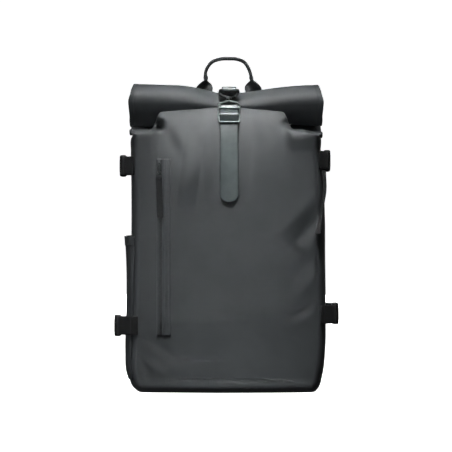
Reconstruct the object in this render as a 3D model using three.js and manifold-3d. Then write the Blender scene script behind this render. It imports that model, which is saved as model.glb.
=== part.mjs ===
// A rolltop backpack of coated cloth, standing on its base, with its mouth rolled shut and hooked down.
// Millimetres, +Z up. The front faces -Y, and the origin is the middle of the flat base.
import * as THREE from "three";
import { mergeVertices } from "three/addons/utils/BufferGeometryUtils.js";
import Module from "manifold-3d";

const wasm = await Module();
wasm.setup();

// The bag itself
const BODY_WIDTH = 325;
const BODY_DEPTH = 150;
const BODY_HEIGHT = 434; // up to the neck, where the rolled collar starts
const CLOTH_WALL = 2;
const SEAM_GAP = 0.3; // between pieces that are sewn or rest on each other
const FRONT_Y = -0.533 * BODY_DEPTH;
const BACK_Y = 0.467 * BODY_DEPTH;

// The rolled collar
const NECK_Y = 36.6; // where the flat neck stands, behind the middle
const NECK_THICK = 5.6;
const COLLAR_THICK = 4.4; // two cloth layers and the slot between them
const COLLAR_SLOT = 1.2;
const COLLAR_INSET = 3.5; // how much narrower the roll is than the bag, on each side
const COLLAR_HALF = BODY_WIDTH / 2 - COLLAR_INSET;
const ROLL_DEPTH = 50;
const ROLL_RISE = 64; // from the neck to the top of the roll
const CREST_Y = NECK_Y - 1.43 * ROLL_DEPTH; // the front panel's fold, just ahead of the roll

// The closure on the front: strap, slide buckle, swivel ring, snap hook and rear strap
const CLOSURE_X = 5;
const STRAP_WIDTH = 30;
const STRAP_THICK = 2.2;
const STRAP_TAIL_DROP = 126; // from the neck down to the free end's round tip
const STRAP_ANCHOR_DROP = 108; // and down to the sewn end, hidden behind the free end
const BUCKLE_DROP = 2; // and down to where the slide buckle's foot stands off the front panel
const BUCKLE_WIDTH = 37;
const BUCKLE_HEIGHT = 28;
const BUCKLE_WIRE = 3;
const BUCKLE_STANDOFF = 8;
const RING_WIRE = 3.2;
const RING_WIDTH = 37;
const RING_LENGTH = 18;
const HOOK_LENGTH = 28;
const HOOK_WIDTH = 34.6;
const HOOK_BAR = 4.6;
const HOOK_THICK = 5.4;
const GATE_THICK = 3;
const GATE_LENGTH = 12;
const GATE_PIN = 1.6; // diameter
const HINGE_GAP = 0.3;
const REAR_WIDTH = 24;

// Webbing, padding and plastic
const WEB_WIDTH = 30;
const WEB_THICK = 1.8;
const HANDLE_WIDTH = 28;
const HANDLE_THICK = 4.4;
const HANDLE_X = 4.5;
const HANDLE_SPAN = 80;
const HANDLE_RISE = 111; // from the neck to the top of the arch
const PAD_WIDTH = 270;
const PAD_THICK = 12;
const PAD_FOOT = 45;
const PAD_DROP = 46; // from the neck down to the pad's top edge
const SHOULDER_WIDTH = 58;
const SHOULDER_THICK = 10;
const SHOULDER_RISE = 16; // from the pad's top edge up to the straps' sewn ends
const SHOULDER_FOOT = 166;

const SIDE_BUCKLE_LENGTH = 42;
const SIDE_BUCKLE_HEIGHT = 36;
const SIDE_BUCKLE_THICK = 11;
const TAIL_WIDTH = 16;
const TAIL_LENGTH = 102;

// Front zip and side pocket
const WELT_WIDTH = 15;
const WELT_THICK = 1.6;
const WELT_INSET = 58.8; // from the bag's side
const TAPE_WIDTH = 8;
const TAPE_THICK = 1.1;
const ZIP_FOOT = 92;
const ZIP_DROP = 56; // from the neck down to the zip's closed end
const SLIDER_LENGTH = 24;
const SLIDER_WIDTH = 9;
const SLIDER_THICK = 5;
const TAB_LENGTH = 63;
const TAB_WIDTH = 10;
const TAB_THICK = 2.2;
const POCKET_HEIGHT = 232;
const POCKET_FOOT = 20;
const POCKET_WALL = 1.8;
const POCKET_GAPE = 8.5; // how far the pocket's mouth stands off the bag's side

const cloth = new THREE.MeshStandardMaterial({ color: 0x4b5053, roughness: 0.62, metalness: 0 });
const coatedStrap = new THREE.MeshStandardMaterial({ color: 0x454b4f, roughness: 0.45, metalness: 0 });
const webbing = new THREE.MeshStandardMaterial({ color: 0x1d1f20, roughness: 0.85, metalness: 0 });
const padding = new THREE.MeshStandardMaterial({ color: 0x303335, roughness: 0.9, metalness: 0 });
const gunmetal = new THREE.MeshStandardMaterial({ color: 0x50585a, roughness: 0.35, metalness: 0.9 });
const plastic = new THREE.MeshStandardMaterial({ color: 0x161718, roughness: 0.5, metalness: 0 });

const TAIL_END_Z = BODY_HEIGHT - STRAP_TAIL_DROP;
const BUCKLE_FOOT_Z = BODY_HEIGHT - BUCKLE_DROP;
const HANDLE_TOP = BODY_HEIGHT + HANDLE_RISE;
const PAD_TOP = BODY_HEIGHT - PAD_DROP;
const SHOULDER_TOP = PAD_TOP + SHOULDER_RISE;
const ZIP_TOP = BODY_HEIGHT - ZIP_DROP;
const POCKET_TOP = POCKET_FOOT + POCKET_HEIGHT;
const WELT_LEFT = WELT_INSET - BODY_WIDTH / 2;

const lerp = (a, b, t) => a + (b - a) * t;
const vec = (x, y, z) => new THREE.Vector3(x, y, z);
const smooth = (a, b, x) => THREE.MathUtils.smoothstep(x, a, b);

// A closed surface from corner points and faces, turned to face out
function closedGeometry(points, faces) {
  const volume = faces.reduce((sum, [a, b, c]) => {
    return sum + points[a].dot(new THREE.Vector3().crossVectors(points[b], points[c]));
  }, 0);
  const index = faces.flatMap(([a, b, c]) => (volume < 0 ? [a, c, b] : [a, b, c]));
  const geometry = new THREE.BufferGeometry().setFromPoints(points);
  geometry.setIndex(index);
  geometry.computeVertexNormals();
  return geometry;
}

// Quads between neighbouring rings, whose points start at number `first`
function ringBands(count, size, first, flipped) {
  const faces = [];
  for (let i = 0; i + 1 < count; i++) {
    for (let j = 0; j < size; j++) {
      const a = first + i * size + j;
      const b = first + i * size + ((j + 1) % size);
      const c = b + size;
      const d = a + size;
      faces.push(...(flipped ? [[a, c, b], [a, d, c]] : [[a, b, c], [a, c, d]]));
    }
  }
  return faces;
}

// A flat lid over one ring, as a strip between its two halves
function ringLid(size, first, flipped) {
  const faces = [];
  for (let j = 0; j < size / 2; j++) {
    const a = first + j;
    const b = first + j + 1;
    const c = first + ((size - j) % size);
    const d = first + size - j - 1;
    if (b !== d) faces.push(flipped ? [a, d, b] : [a, b, d]);
    if (a !== c) faces.push(flipped ? [a, c, d] : [a, d, c]);
  }
  return faces;
}

// A solid whose skin runs through the rings and closes at both ends
function loftSolid(rings) {
  const size = rings[0].length;
  const last = (rings.length - 1) * size;
  const faces = ringBands(rings.length, size, 0, false);
  faces.push(...ringLid(size, 0, true), ...ringLid(size, last, false));
  return closedGeometry(rings.flat(), faces);
}

// A wall between outer and inner rings. Its far end is open, and its near end is a floor or open too.
function loftWall(outer, inner, hasFloor) {
  const size = outer[0].length;
  const count = outer.length;
  const base = count * size;
  const faces = [...ringBands(count, size, 0, false), ...ringBands(count, size, base, true)];
  const rim = (o, i, flipped) => {
    for (let j = 0; j < size; j++) {
      const k = (j + 1) % size;
      const quad = flipped ? [[o + j, i + k, o + k], [o + j, i + j, i + k]] : [[o + j, o + k, i + k], [o + j, i + k, i + j]];
      faces.push(...quad);
    }
  };
  rim(base - size, 2 * base - size, false);
  if (hasFloor) faces.push(...ringLid(size, 0, true), ...ringLid(size, base, false));
  else rim(0, base, true);
  return closedGeometry([...outer.flat(), ...inner.flat()], faces);
}

// The rings moved along their surface normals, which point away from the rings' inside
function movedRings(rings, distance) {
  const size = rings[0].length;
  return rings.map((ring, i) =>
    ring.map((point, j) => {
      const round = vec().subVectors(ring[(j + 1) % size], ring[(j + size - 1) % size]);
      const below = rings[Math.max(i - 1, 0)][j];
      const above = rings[Math.min(i + 1, rings.length - 1)][j];
      const normal = vec().crossVectors(round, vec().subVectors(above, below)).normalize();
      return point.clone().addScaledVector(normal, distance);
    }),
  );
}

// A flat strap through stations of centre and side direction, with square or rounded edges
function ribbon(stations, width, thickness, roundness = 0) {
  const outline = roundness
    ? [[-1, 0], [-1 + roundness, -1], [1 - roundness, -1], [1, 0], [1 - roundness, 1], [-1 + roundness, 1]]
    : [[-1, -1], [1, -1], [1, 1], [-1, 1]];
  const rings = stations.map(({ at, side, scale = 1 }, i) => {
    const before = stations[Math.max(i - 1, 0)].at;
    const after = stations[Math.min(i + 1, stations.length - 1)].at;
    const tangent = vec().subVectors(after, before).normalize();
    const across = side.clone().addScaledVector(tangent, -side.dot(tangent)).normalize();
    const normal = vec().crossVectors(tangent, across);
    return outline.map(([u, v]) =>
      at.clone().addScaledVector(across, (u * width * scale) / 2).addScaledVector(normal, (v * thickness) / 2),
    );
  });
  return loftSolid(rings);
}

// The normals of a flat path in Y and Z, turned left from its direction and lengthened at the bends
function pathNormals(path) {
  return path.map((p, i) => {
    const before = path[Math.max(i - 1, 0)];
    const after = path[Math.min(i + 1, path.length - 1)];
    const into = new THREE.Vector2(p.x - before.x, p.y - before.y).normalize();
    const out = new THREE.Vector2(after.x - p.x, after.y - p.y).normalize();
    const a = i ? into : out;
    const b = i + 1 < path.length ? out : into;
    const mean = new THREE.Vector2(a.x + b.x, a.y + b.y).normalize();
    const stretch = 1 / Math.max(0.5, mean.dot(a));
    return new THREE.Vector2(-mean.y * stretch, mean.x * stretch);
  });
}

const offsetPath = (path, distance) => {
  const normals = pathNormals(path);
  return path.map((p, i) => p.clone().addScaledVector(normals[i], distance));
};

// A strip of even width in X whose centreline is a path in Y and Z
function stripAlong(path, thickness, width, centreX) {
  const left = offsetPath(path, thickness / 2);
  const right = offsetPath(path, -thickness / 2);
  const shape = new THREE.Shape([...left, ...right.reverse()]);
  const geometry = new THREE.ExtrudeGeometry(shape, { depth: width, bevelEnabled: false, steps: 1 });
  geometry.applyMatrix4(new THREE.Matrix4().set(0, 0, 1, centreX - width / 2, 1, 0, 0, 0, 0, 1, 0, 0, 0, 0, 0, 1));
  return geometry;
}

const solidOf = (geometry) => {
  const bare = geometry.clone();
  bare.deleteAttribute("normal");
  bare.deleteAttribute("uv");
  const merged = mergeVertices(bare, 1e-3);
  const vertProperties = new Float32Array(merged.attributes.position.array);
  const triVerts = new Uint32Array(merged.index.array);
  return new wasm.Manifold(new wasm.Mesh({ numProp: 3, vertProperties, triVerts }));
};

const geometryOf = (solid) => {
  const mesh = solid.getMesh();
  const points = [];
  for (let i = 0; i < mesh.numVert; i++) points.push(vec(...mesh.vertProperties.slice(i * mesh.numProp, i * mesh.numProp + 3)));
  const geometry = new THREE.BufferGeometry().setFromPoints(points);
  geometry.setIndex([...mesh.triVerts]);
  geometry.computeVertexNormals();
  return geometry;
};

const backpack = new THREE.Group();

function add(name, geometry, material) {
  const mesh = new THREE.Mesh(geometry, material);
  mesh.name = name;
  backpack.add(mesh);
  return mesh;
}

// Body shell
// Height, front, back, left and right, as shares of the body's height, depth each way and half width
const LOWER_ROWS = [
  [0.0, 0.8, 0.86, 0.875, 0.9],
  [0.014, 0.885, 0.965, 0.915, 0.925],
  [0.06, 0.935, 0.995, 0.955, 0.955],
  [0.15, 0.97, 1.0, 0.975, 0.99],
  [0.3, 1.0, 1.0, 0.965, 0.997],
  [0.48, 1.0, 1.0, 0.955, 0.992],
  [0.66, 0.985, 1.0, 0.95, 0.988],
  [0.8, 0.945, 1.0, 0.952, 0.978],
  [0.9, 0.865, 1.0, 0.956, 0.952],
];
// Round the top. Heights from the neck are shares of the roll's rise.
// Front height and place (0 front face, 1 crest, 2 neck), the same for the shoulders beside the hump,
// the back's height and place (0 back face, 1 neck), and how far the sides tuck in
const UPPER_ROWS = [
  [-0.183, 0.44, -0.373, 0.62, -0.373, 0.05, 0.06],
  [0.19, 0.69, -0.217, 0.89, -0.203, 0.2, 0.14],
  [0.42, 1.0, -0.19, 1.115, -0.129, 0.42, 0.2],
  [0.326, 1.115, -0.203, 1.28, -0.102, 0.62, 0.2],
  [0.027, 1.225, -0.231, 1.41, -0.088, 0.75, 0.16],
  [-0.203, 1.39, -0.237, 1.55, -0.081, 0.83, 0.1],
  [-0.251, 1.77, -0.19, 1.77, -0.068, 0.905, 0.04],
  [0.0, 2.0, 0.0, 2.0, 0.0, 1.0, 0.0],
];
const TOP_WIDTH = 0.955;
const HUMP_LEFT = [0.62, 0.79];
const HUMP_RIGHT = [0.54, 0.69];
const HUMP_DROOP = 0.25;
const CROWN = 0.045; // of the local depth
const SEAM_INSET = 0.085;
const FRONT_SHARES = [0, 0.14, 0.3, 0.46, 0.6, 0.68, 0.76, 0.86, 1];
const SIDE_SHARES = [0.12, 0.3, 0.52, 0.74, 0.9];
const BACK_SHARES = [1, 0.93, 0.5, 0];

const neckFront = NECK_Y - NECK_THICK / 2;
const neckBack = NECK_Y + NECK_THICK / 2;
const fromNeck = (share) => BODY_HEIGHT + share * ROLL_RISE;
const alongTop = (s) => (s <= 1 ? lerp(FRONT_Y, CREST_Y, s) : lerp(CREST_Y, neckFront, s - 1));

const bodyRows = [
  ...LOWER_ROWS.map(([height, front, back, left, right]) => ({
    front: [front * FRONT_Y, height * BODY_HEIGHT],
    shoulder: [front * FRONT_Y, height * BODY_HEIGHT],
    back: [back * BACK_Y, height * BODY_HEIGHT],
    half: { left: (left * BODY_WIDTH) / 2, right: (right * BODY_WIDTH) / 2 },
    tuck: 0,
  })),
  ...UPPER_ROWS.map(([frontZ, frontAt, shoulderZ, shoulderAt, backZ, backAt, tuck]) => ({
    front: [alongTop(frontAt), fromNeck(frontZ)],
    shoulder: [alongTop(shoulderAt), fromNeck(shoulderZ)],
    back: [lerp(BACK_Y, neckBack, backAt), fromNeck(backZ)],
    half: { left: (TOP_WIDTH * BODY_WIDTH) / 2, right: (TOP_WIDTH * BODY_WIDTH) / 2 },
    tuck: (tuck * BODY_WIDTH) / 2,
  })),
];

function bodyHalfRing(row, side) {
  const half = side > 0 ? row.half.right : row.half.left;
  const [fade, gone] = side > 0 ? HUMP_RIGHT : HUMP_LEFT;
  const depth = row.back[0] - row.shoulder[0];
  const seamX = half - SEAM_INSET * depth;
  const points = FRONT_SHARES.map((share) => {
    const out = (share * seamX * 2) / BODY_WIDTH;
    const hump = (1 - HUMP_DROOP * Math.pow(out / gone, 2)) * (1 - smooth(fade, gone, out));
    const y = lerp(row.shoulder[0], row.front[0], hump) + CROWN * depth * share * share;
    return vec(side * share * seamX, y, lerp(row.shoulder[1], row.front[1], hump));
  });
  const seam = points[points.length - 1];
  const cornerY = row.back[0] - 0.04 * depth;
  SIDE_SHARES.forEach((share) => {
    const bow = Math.pow(Math.sin(Math.PI * share), 0.6);
    const x = half - SEAM_INSET * depth * (1 - bow) - row.tuck * bow;
    points.push(vec(side * x, lerp(seam.y, cornerY, share), lerp(seam.z, row.back[1], share)));
  });
  BACK_SHARES.forEach((share, i) => {
    const y = i ? row.back[0] : cornerY;
    points.push(vec(side * share * (half - 0.05 * depth), y, row.back[1]));
  });
  return points;
}

const wholeRing = (halfRing) => {
  const left = halfRing(-1).slice(1, -1).reverse();
  return [...halfRing(1), ...left];
};

function bodyShell() {
  const outer = bodyRows.map((row) => wholeRing((side) => bodyHalfRing(row, side)));
  const inner = movedRings(outer, -CLOTH_WALL);
  inner[0].forEach((p) => (p.z = CLOTH_WALL));
  inner[inner.length - 1].forEach((p) => (p.z = BODY_HEIGHT));
  return loftWall(outer, inner, true);
}

add("body_shell", bodyShell(), cloth);

// Roll collar
// Forward and up from the neck at the ends and at the pinched middle, as shares of the roll's depth and rise,
// and the half width as a share of the collar's
const COLLAR_ROWS = [
  [0.0, 0.0, 0.0, 0.0, 0.975],
  [-0.02, 0.2, -0.04, 0.19, 0.96],
  [-0.03, 0.45, -0.06, 0.4, 0.95],
  [0.01, 0.71, -0.05, 0.6, 0.945],
  [0.11, 0.87, 0.01, 0.72, 0.94],
  [0.29, 0.975, 0.13, 0.775, 0.938],
  [0.53, 1.0, 0.33, 0.745, 0.94],
  [0.73, 0.94, 0.57, 0.655, 0.955],
  [0.89, 0.8, 0.81, 0.55, 0.978],
  [0.98, 0.57, 0.95, 0.45, 1.0],
  [0.99, 0.33, 1.01, 0.34, 0.99],
  [0.93, 0.11, 0.96, 0.25, 0.975],
  [0.83, -0.03, 0.84, 0.2, 0.97],
  [0.69, -0.08, 0.68, 0.21, 0.965],
  [0.55, -0.04, 0.5, 0.25, 0.96],
  [0.46, 0.06, 0.38, 0.29, 0.955],
  [0.43, 0.22, 0.3, 0.33, 0.95],
  [0.42, 0.45, 0.22, 0.37, 0.945],
  [0.41, 0.66, 0.16, 0.42, 0.94],
  [0.35, 0.79, 0.12, 0.48, 0.94],
  [0.25, 0.81, 0.13, 0.545, 0.94],
  [0.17, 0.72, 0.19, 0.585, 0.94],
  [0.14, 0.55, 0.3, 0.56, 0.94],
  [0.14, 0.36, 0.4, 0.5, 0.94],
];
const COLLAR_STATIONS = [1, 0.88, 0.7, 0.52, 0.38, 0.26, 0.15, 0];
const PINCH_HALF = 15; // the flat stretch under the hook
const PINCH_REACH = 42;

function collarPoint(row, share, side) {
  const [endY, endZ, midY, midZ, width] = row;
  const x = side * share * width * COLLAR_HALF;
  const away = Math.max(0, Math.abs(x - CLOSURE_X) - PINCH_HALF) / PINCH_REACH;
  const pinch = Math.exp(-Math.pow(away, 1.5));
  const y = NECK_Y - lerp(endY, midY, pinch) * ROLL_DEPTH;
  const z = BODY_HEIGHT + 2 * SEAM_GAP + lerp(endZ, midZ, pinch) * ROLL_RISE;
  return vec(x, y, z);
}

function rollCollar() {
  const across = [...COLLAR_STATIONS.map((s) => [s, -1]), ...COLLAR_STATIONS.slice(0, -1).reverse().map((s) => [s, 1])];
  const middle = COLLAR_ROWS.map((row) => across.map(([share, side]) => collarPoint(row, share, side)));
  const normalAt = (i, j) => {
    const along = vec().subVectors(middle[Math.min(i + 1, middle.length - 1)][j], middle[Math.max(i - 1, 0)][j]);
    const over = vec().subVectors(middle[i][Math.min(j + 1, across.length - 1)], middle[i][Math.max(j - 1, 0)]);
    return vec().crossVectors(over, along).normalize();
  };
  const skin = (half, inset) =>
    middle.map((row, i) => {
      const near = row.map((p, j) => p.clone().addScaledVector(normalAt(i, j), half));
      const far = row.map((p, j) => p.clone().addScaledVector(normalAt(i, j), -half)).reverse();
      const squeeze = (p) => p.setX(p.x * (1 - inset / COLLAR_HALF));
      return [...near, ...far].map(squeeze);
    });
  return loftWall(skin(COLLAR_THICK / 2, 0), skin(COLLAR_SLOT / 2, CLOTH_WALL), false);
}

add("roll_collar", rollCollar(), cloth);

// Front closure
const profilePath = bodyRows.map((row) => new THREE.Vector2(row.front[0], row.front[1]));
// Going up the front, the outside is on the path's left, so a positive offset stands off the cloth
const frontOutside = (distance) => offsetPath(profilePath, distance);
const heightOn = (path, z) => {
  const i = path.findIndex((p, k) => k && p.y >= z);
  const t = (z - path[i - 1].y) / (path[i].y - path[i - 1].y);
  return path[i - 1].clone().lerp(path[i], t);
};
const stretchOf = (path, low, high) => [
  heightOn(path, low),
  ...path.filter((p) => p.y > low + 1.5 * STRAP_THICK && p.y < high - 1.5 * STRAP_THICK && p.x < CREST_Y),
  heightOn(path, high),
];

const buckleFoot = heightOn(profilePath, BUCKLE_FOOT_Z);
const buckleHead = heightOn(profilePath, BUCKLE_FOOT_Z + 0.43 * BUCKLE_HEIGHT);
const slopeUp = buckleHead.clone().sub(buckleFoot).normalize();
const slopeOut = new THREE.Vector2(-slopeUp.y, slopeUp.x);
const onSlope = (up, out) => buckleFoot.clone().addScaledVector(slopeUp, up).addScaledVector(slopeOut, out);
const layerOne = SEAM_GAP + STRAP_THICK / 2;
const layerTwo = layerOne + STRAP_THICK + SEAM_GAP;
const barReach = BUCKLE_HEIGHT / 2 - BUCKLE_WIRE / 2; // from the buckle's middle bar to its end bars
const barBend = BUCKLE_WIRE / 2 + 1.5 * SEAM_GAP + STRAP_THICK / 2;
const ringBend = RING_WIRE / 2 + 1.5 * SEAM_GAP + STRAP_THICK / 2;
// The swivel ring's lower bar stands just above the buckle and behind its plane
const ringUp = BUCKLE_HEIGHT + RING_WIRE;
const ringBar = onSlope(ringUp, BUCKLE_STANDOFF - barBend - ringBend);

// Points on the strap's bend round a bar, by angles from straight up the slope towards the front
const aroundBar = (up, out, radius, angles) =>
  angles.map((degrees) => {
    const a = THREE.MathUtils.degToRad(degrees);
    return onSlope(up + Math.cos(a) * radius, out + Math.sin(a) * radius);
  });

function closureStrap() {
  const inner = stretchOf(frontOutside(layerOne), BODY_HEIGHT - STRAP_ANCHOR_DROP, BUCKLE_FOOT_Z + 0.68 * BUCKLE_HEIGHT);
  const middleUp = BUCKLE_HEIGHT / 2;
  const weave = [
    ...aroundBar(ringUp, BUCKLE_STANDOFF - barBend - ringBend, ringBend, [-80, -35, 10, 50, 90]),
    ...aroundBar(middleUp + barReach, BUCKLE_STANDOFF, barBend, [-90, -119]),
    ...aroundBar(middleUp, BUCKLE_STANDOFF, barBend, [61, 90, 119]),
    ...aroundBar(middleUp - barReach, BUCKLE_STANDOFF, barBend, [-61, -95]),
  ];
  const tail = stretchOf(frontOutside(layerTwo), TAIL_END_Z, BUCKLE_FOOT_Z - BUCKLE_STANDOFF).reverse();
  const strip = stripAlong([...inner, ...weave, ...tail], STRAP_THICK, STRAP_WIDTH, CLOSURE_X);
  const r = STRAP_WIDTH / 2;
  const tip = new THREE.Shape();
  tip.moveTo(-r, HANDLE_TOP);
  tip.lineTo(-r, TAIL_END_Z + r);
  tip.absarc(0, TAIL_END_Z + r, r, Math.PI, 2 * Math.PI, false);
  tip.lineTo(r, HANDLE_TOP);
  const cutter = new THREE.ExtrudeGeometry(tip, { depth: BODY_DEPTH, bevelEnabled: false, curveSegments: 6 });
  cutter.rotateX(Math.PI / 2);
  cutter.translate(CLOSURE_X, 0.5 * BODY_DEPTH - BODY_DEPTH / 3, 0);
  return geometryOf(solidOf(strip).intersect(solidOf(cutter)));
}

add("closure_strap", closureStrap(), coatedStrap);

// Bars of round wire through the points of a closed or open line
function wireAlong(points, diameter, closed, sides = 6) {
  const count = points.length;
  const rings = points.map((p, i) => {
    const before = closed ? points[(i + count - 1) % count] : points[Math.max(i - 1, 0)];
    const after = closed ? points[(i + 1) % count] : points[Math.min(i + 1, count - 1)];
    const into = p.equals(before) ? vec().subVectors(after, p) : vec().subVectors(p, before);
    const out = p.equals(after) ? into : vec().subVectors(after, p);
    const tangent = into.clone().normalize().add(out.clone().normalize()).normalize();
    const up = wireNormal(points, i);
    const across = vec().crossVectors(tangent, up).normalize();
    const stretch = 1 / Math.max(0.5, tangent.dot(into.normalize()));
    return Array.from({ length: sides }, (_, k) => {
      const a = (2 * Math.PI * (k + 0.5)) / sides;
      return p
        .clone()
        .addScaledVector(across, (Math.cos(a) * diameter * stretch) / 2)
        .addScaledVector(up, (Math.sin(a) * diameter) / 2);
    });
  });
  if (!closed) return loftSolid(rings);
  const faces = ringBands(count + 1, sides, 0, false).map((f) => f.map((v) => v % (count * sides)));
  return closedGeometry(rings.flat(), faces);
}

const wireNormal = (points) => {
  const a = vec().subVectors(points[1], points[0]);
  const b = vec().subVectors(points[2], points[0]);
  return vec().crossVectors(a, b).normalize();
};

// A mirrored frame in the plane that holds X and the direction, from its right half: out and up
function frameLine(foot, direction, rightHalf) {
  const place = ([x, up]) => vec(CLOSURE_X + x, foot.x + direction.x * up, foot.y + direction.y * up);
  const leftHalf = rightHalf.map(([x, up]) => [-x, up]).reverse();
  return [...rightHalf, ...leftHalf].map(place);
}

function slideBuckle() {
  const inset = BUCKLE_WIRE / 2;
  const width = BUCKLE_WIDTH - BUCKLE_WIRE;
  const foot = onSlope(inset, BUCKLE_STANDOFF);
  const half = width / 2;
  const top = BUCKLE_HEIGHT - BUCKLE_WIRE;
  const corner = 1.4;
  const rightHalf = [[half - corner, 0], [half, corner], [half, top - corner], [half - corner, top]];
  const frame = wireAlong(frameLine(foot, slopeUp, rightHalf), BUCKLE_WIRE, true);
  const middle = onSlope(BUCKLE_HEIGHT / 2, BUCKLE_STANDOFF);
  const bar = new THREE.CylinderGeometry(BUCKLE_WIRE / 2, BUCKLE_WIRE / 2, width, 6);
  bar.rotateZ(Math.PI / 2);
  bar.translate(CLOSURE_X, middle.x, middle.y);
  return geometryOf(solidOf(frame).add(solidOf(bar)));
}

add("slide_buckle", slideBuckle(), gunmetal);

// The swivel ring and the hook share one line that climbs from the ring's lower bar over the roll
const HOOK_CLIMB = THREE.MathUtils.degToRad(33);
const hookUp = new THREE.Vector2(Math.cos(HOOK_CLIMB), Math.sin(HOOK_CLIMB));
const SWIVEL_LENGTH = 6;
const SWIVEL_RADIUS = 4.5;
const STUD_RADIUS = 2;
const hookFoot = ringBar.clone().addScaledVector(hookUp, RING_LENGTH + RING_WIRE / 2 + SEAM_GAP + SWIVEL_LENGTH);

function swivelRing() {
  const half = (RING_WIDTH - RING_WIRE) / 2;
  const rightHalf = [
    [half - 1.2, 0],
    [half, 1.2],
    [half, 0.38 * RING_LENGTH],
    [0.6 * half, 0.83 * RING_LENGTH],
    [0.22 * half, RING_LENGTH],
  ];
  const ring = wireAlong(frameLine(ringBar, hookUp, rightHalf), RING_WIRE, true);
  const length = RING_WIRE / 2 + SWIVEL_LENGTH - 1;
  const stud = new THREE.CylinderGeometry(STUD_RADIUS, STUD_RADIUS, length, 8);
  stud.rotateX(HOOK_CLIMB);
  const middle = ringBar.clone().addScaledVector(hookUp, RING_LENGTH + length / 2);
  stud.translate(CLOSURE_X, middle.x, middle.y);
  return geometryOf(solidOf(ring).add(solidOf(stud)));
}

add("swivel_ring", swivelRing(), gunmetal);

// The hook lies flat on the roll: its outline holds across and along, and its thickness points out
function placedOnHook(geometry) {
  return geometry.applyMatrix4(
    new THREE.Matrix4().set(
      1, 0, 0, CLOSURE_X,
      0, hookUp.x, -hookUp.y, hookFoot.x,
      0, hookUp.y, hookUp.x, hookFoot.y,
      0, 0, 0, 1,
    ),
  );
}

const PIVOT_RADIUS = 2;
const pivot = [0.25 * HOOK_WIDTH, 0.235 * HOOK_LENGTH];
const gateLean = Math.atan2(HOOK_WIDTH / 2 - HOOK_BAR / 2 - pivot[0], GATE_LENGTH * 0.94);
const gateTip = [pivot[0] + GATE_LENGTH * Math.sin(gateLean), pivot[1] + GATE_LENGTH * Math.cos(gateLean)];
const gateHead = gateTip[1] + PIVOT_RADIUS * Math.sin(gateLean) + SEAM_GAP;
const slab = (points, thickness) => {
  const shape = new THREE.Shape(points.map(([a, b]) => new THREE.Vector2(a, b)));
  const geometry = new THREE.ExtrudeGeometry(shape, { depth: thickness, bevelEnabled: false });
  return geometry.translate(0, 0, -thickness / 2);
};

function snapHook() {
  const o = HOOK_WIDTH / 2;
  const i = o - HOOK_BAR;
  const end = HOOK_LENGTH;
  const outline = [
    [-SWIVEL_RADIUS, 0],
    [-0.45 * o, 0.1 * end],
    [-o, 0.42 * end],
    [-o, end - 3],
    [-o + 3, end],
    [o - 3, end],
    [o, end - 3],
    [o, gateHead],
    [i, gateHead],
    [i, end - HOOK_BAR],
    [-i, end - HOOK_BAR],
    [-i, 0.48 * end],
    [-0.3 * o, 0.23 * end],
    [pivot[0] - 5, pivot[1]],
    [pivot[0] - 1, pivot[1] + 2.6],
    [pivot[0] + 1.6, pivot[1] + 2.2],
    [pivot[0] + 2.7, pivot[1]],
    [0.45 * o, 0.07 * end],
    [SWIVEL_RADIUS, 0],
  ];
  const slot = new THREE.BoxGeometry(9, 12, GATE_THICK + 2 * HINGE_GAP);
  slot.translate(0, 6 - PIVOT_RADIUS - HINGE_GAP, 0);
  slot.rotateZ(-gateLean - 0.35);
  slot.translate(...pivot, 0);
  const pin = new THREE.CylinderGeometry(GATE_PIN / 2, GATE_PIN / 2, HOOK_THICK - 0.4, 10);
  pin.rotateX(Math.PI / 2);
  pin.translate(...pivot, 0);
  const barrel = new THREE.CylinderGeometry(SWIVEL_RADIUS, SWIVEL_RADIUS, SWIVEL_LENGTH + 1.5, 12);
  barrel.translate(0, -SWIVEL_LENGTH / 2 + 0.75, 0);
  const bore = new THREE.CylinderGeometry(STUD_RADIUS + HINGE_GAP, STUD_RADIUS + HINGE_GAP, SWIVEL_LENGTH, 12);
  bore.translate(0, -SWIVEL_LENGTH / 2 - 0.5, 0);
  const bow = solidOf(slab(outline, HOOK_THICK)).subtract(solidOf(slot)).add(solidOf(pin));
  return placedOnHook(geometryOf(bow.add(solidOf(barrel)).subtract(solidOf(bore))));
}

function hookGate() {
  const r = PIVOT_RADIUS;
  const shape = new THREE.Shape();
  shape.absarc(0, 0, r, Math.PI, 2 * Math.PI, false);
  shape.lineTo(r * 0.85, GATE_LENGTH);
  shape.lineTo(-r * 0.85, GATE_LENGTH);
  const hole = new THREE.Path();
  hole.absarc(0, 0, GATE_PIN / 2 + HINGE_GAP / 2, 0, 2 * Math.PI, true);
  shape.holes.push(hole);
  const gate = new THREE.ExtrudeGeometry(shape, { depth: GATE_THICK, bevelEnabled: false, curveSegments: 8 });
  gate.translate(0, 0, -GATE_THICK / 2);
  gate.rotateZ(-gateLean);
  gate.translate(...pivot, 0);
  return placedOnHook(gate);
}

add("snap_hook", snapHook(), gunmetal);
add("hook_gate", hookGate(), gunmetal);

// The cloth's back from the back face up to the neck, which the rear strap and the handle follow
const backPath = bodyRows.map((row) => new THREE.Vector2(row.back[0], row.back[1]));
const behindNeck = NECK_Y + 0.06 * ROLL_DEPTH + COLLAR_THICK / 2;
const STRAP_END = -0.51; // where the rear strap and the handle end on the back, as a share of the roll's rise

// From the sewn end up the back's slope to a straight run behind the roll
function upTheBack(standoff) {
  const slope = offsetPath(backPath, -standoff);
  const sewn = heightOn(slope, fromNeck(STRAP_END));
  const bends = slope.filter((p) => p.y > sewn.y + 2 * STRAP_THICK && p.x > behindNeck + 0.24 * ROLL_DEPTH);
  const run = behindNeck + standoff + SEAM_GAP;
  const foot = new THREE.Vector2(run + 2 * STRAP_THICK, BODY_HEIGHT + standoff + STRAP_THICK);
  return [sewn, ...bends, foot, new THREE.Vector2(run, fromNeck(0.19))];
}

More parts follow.
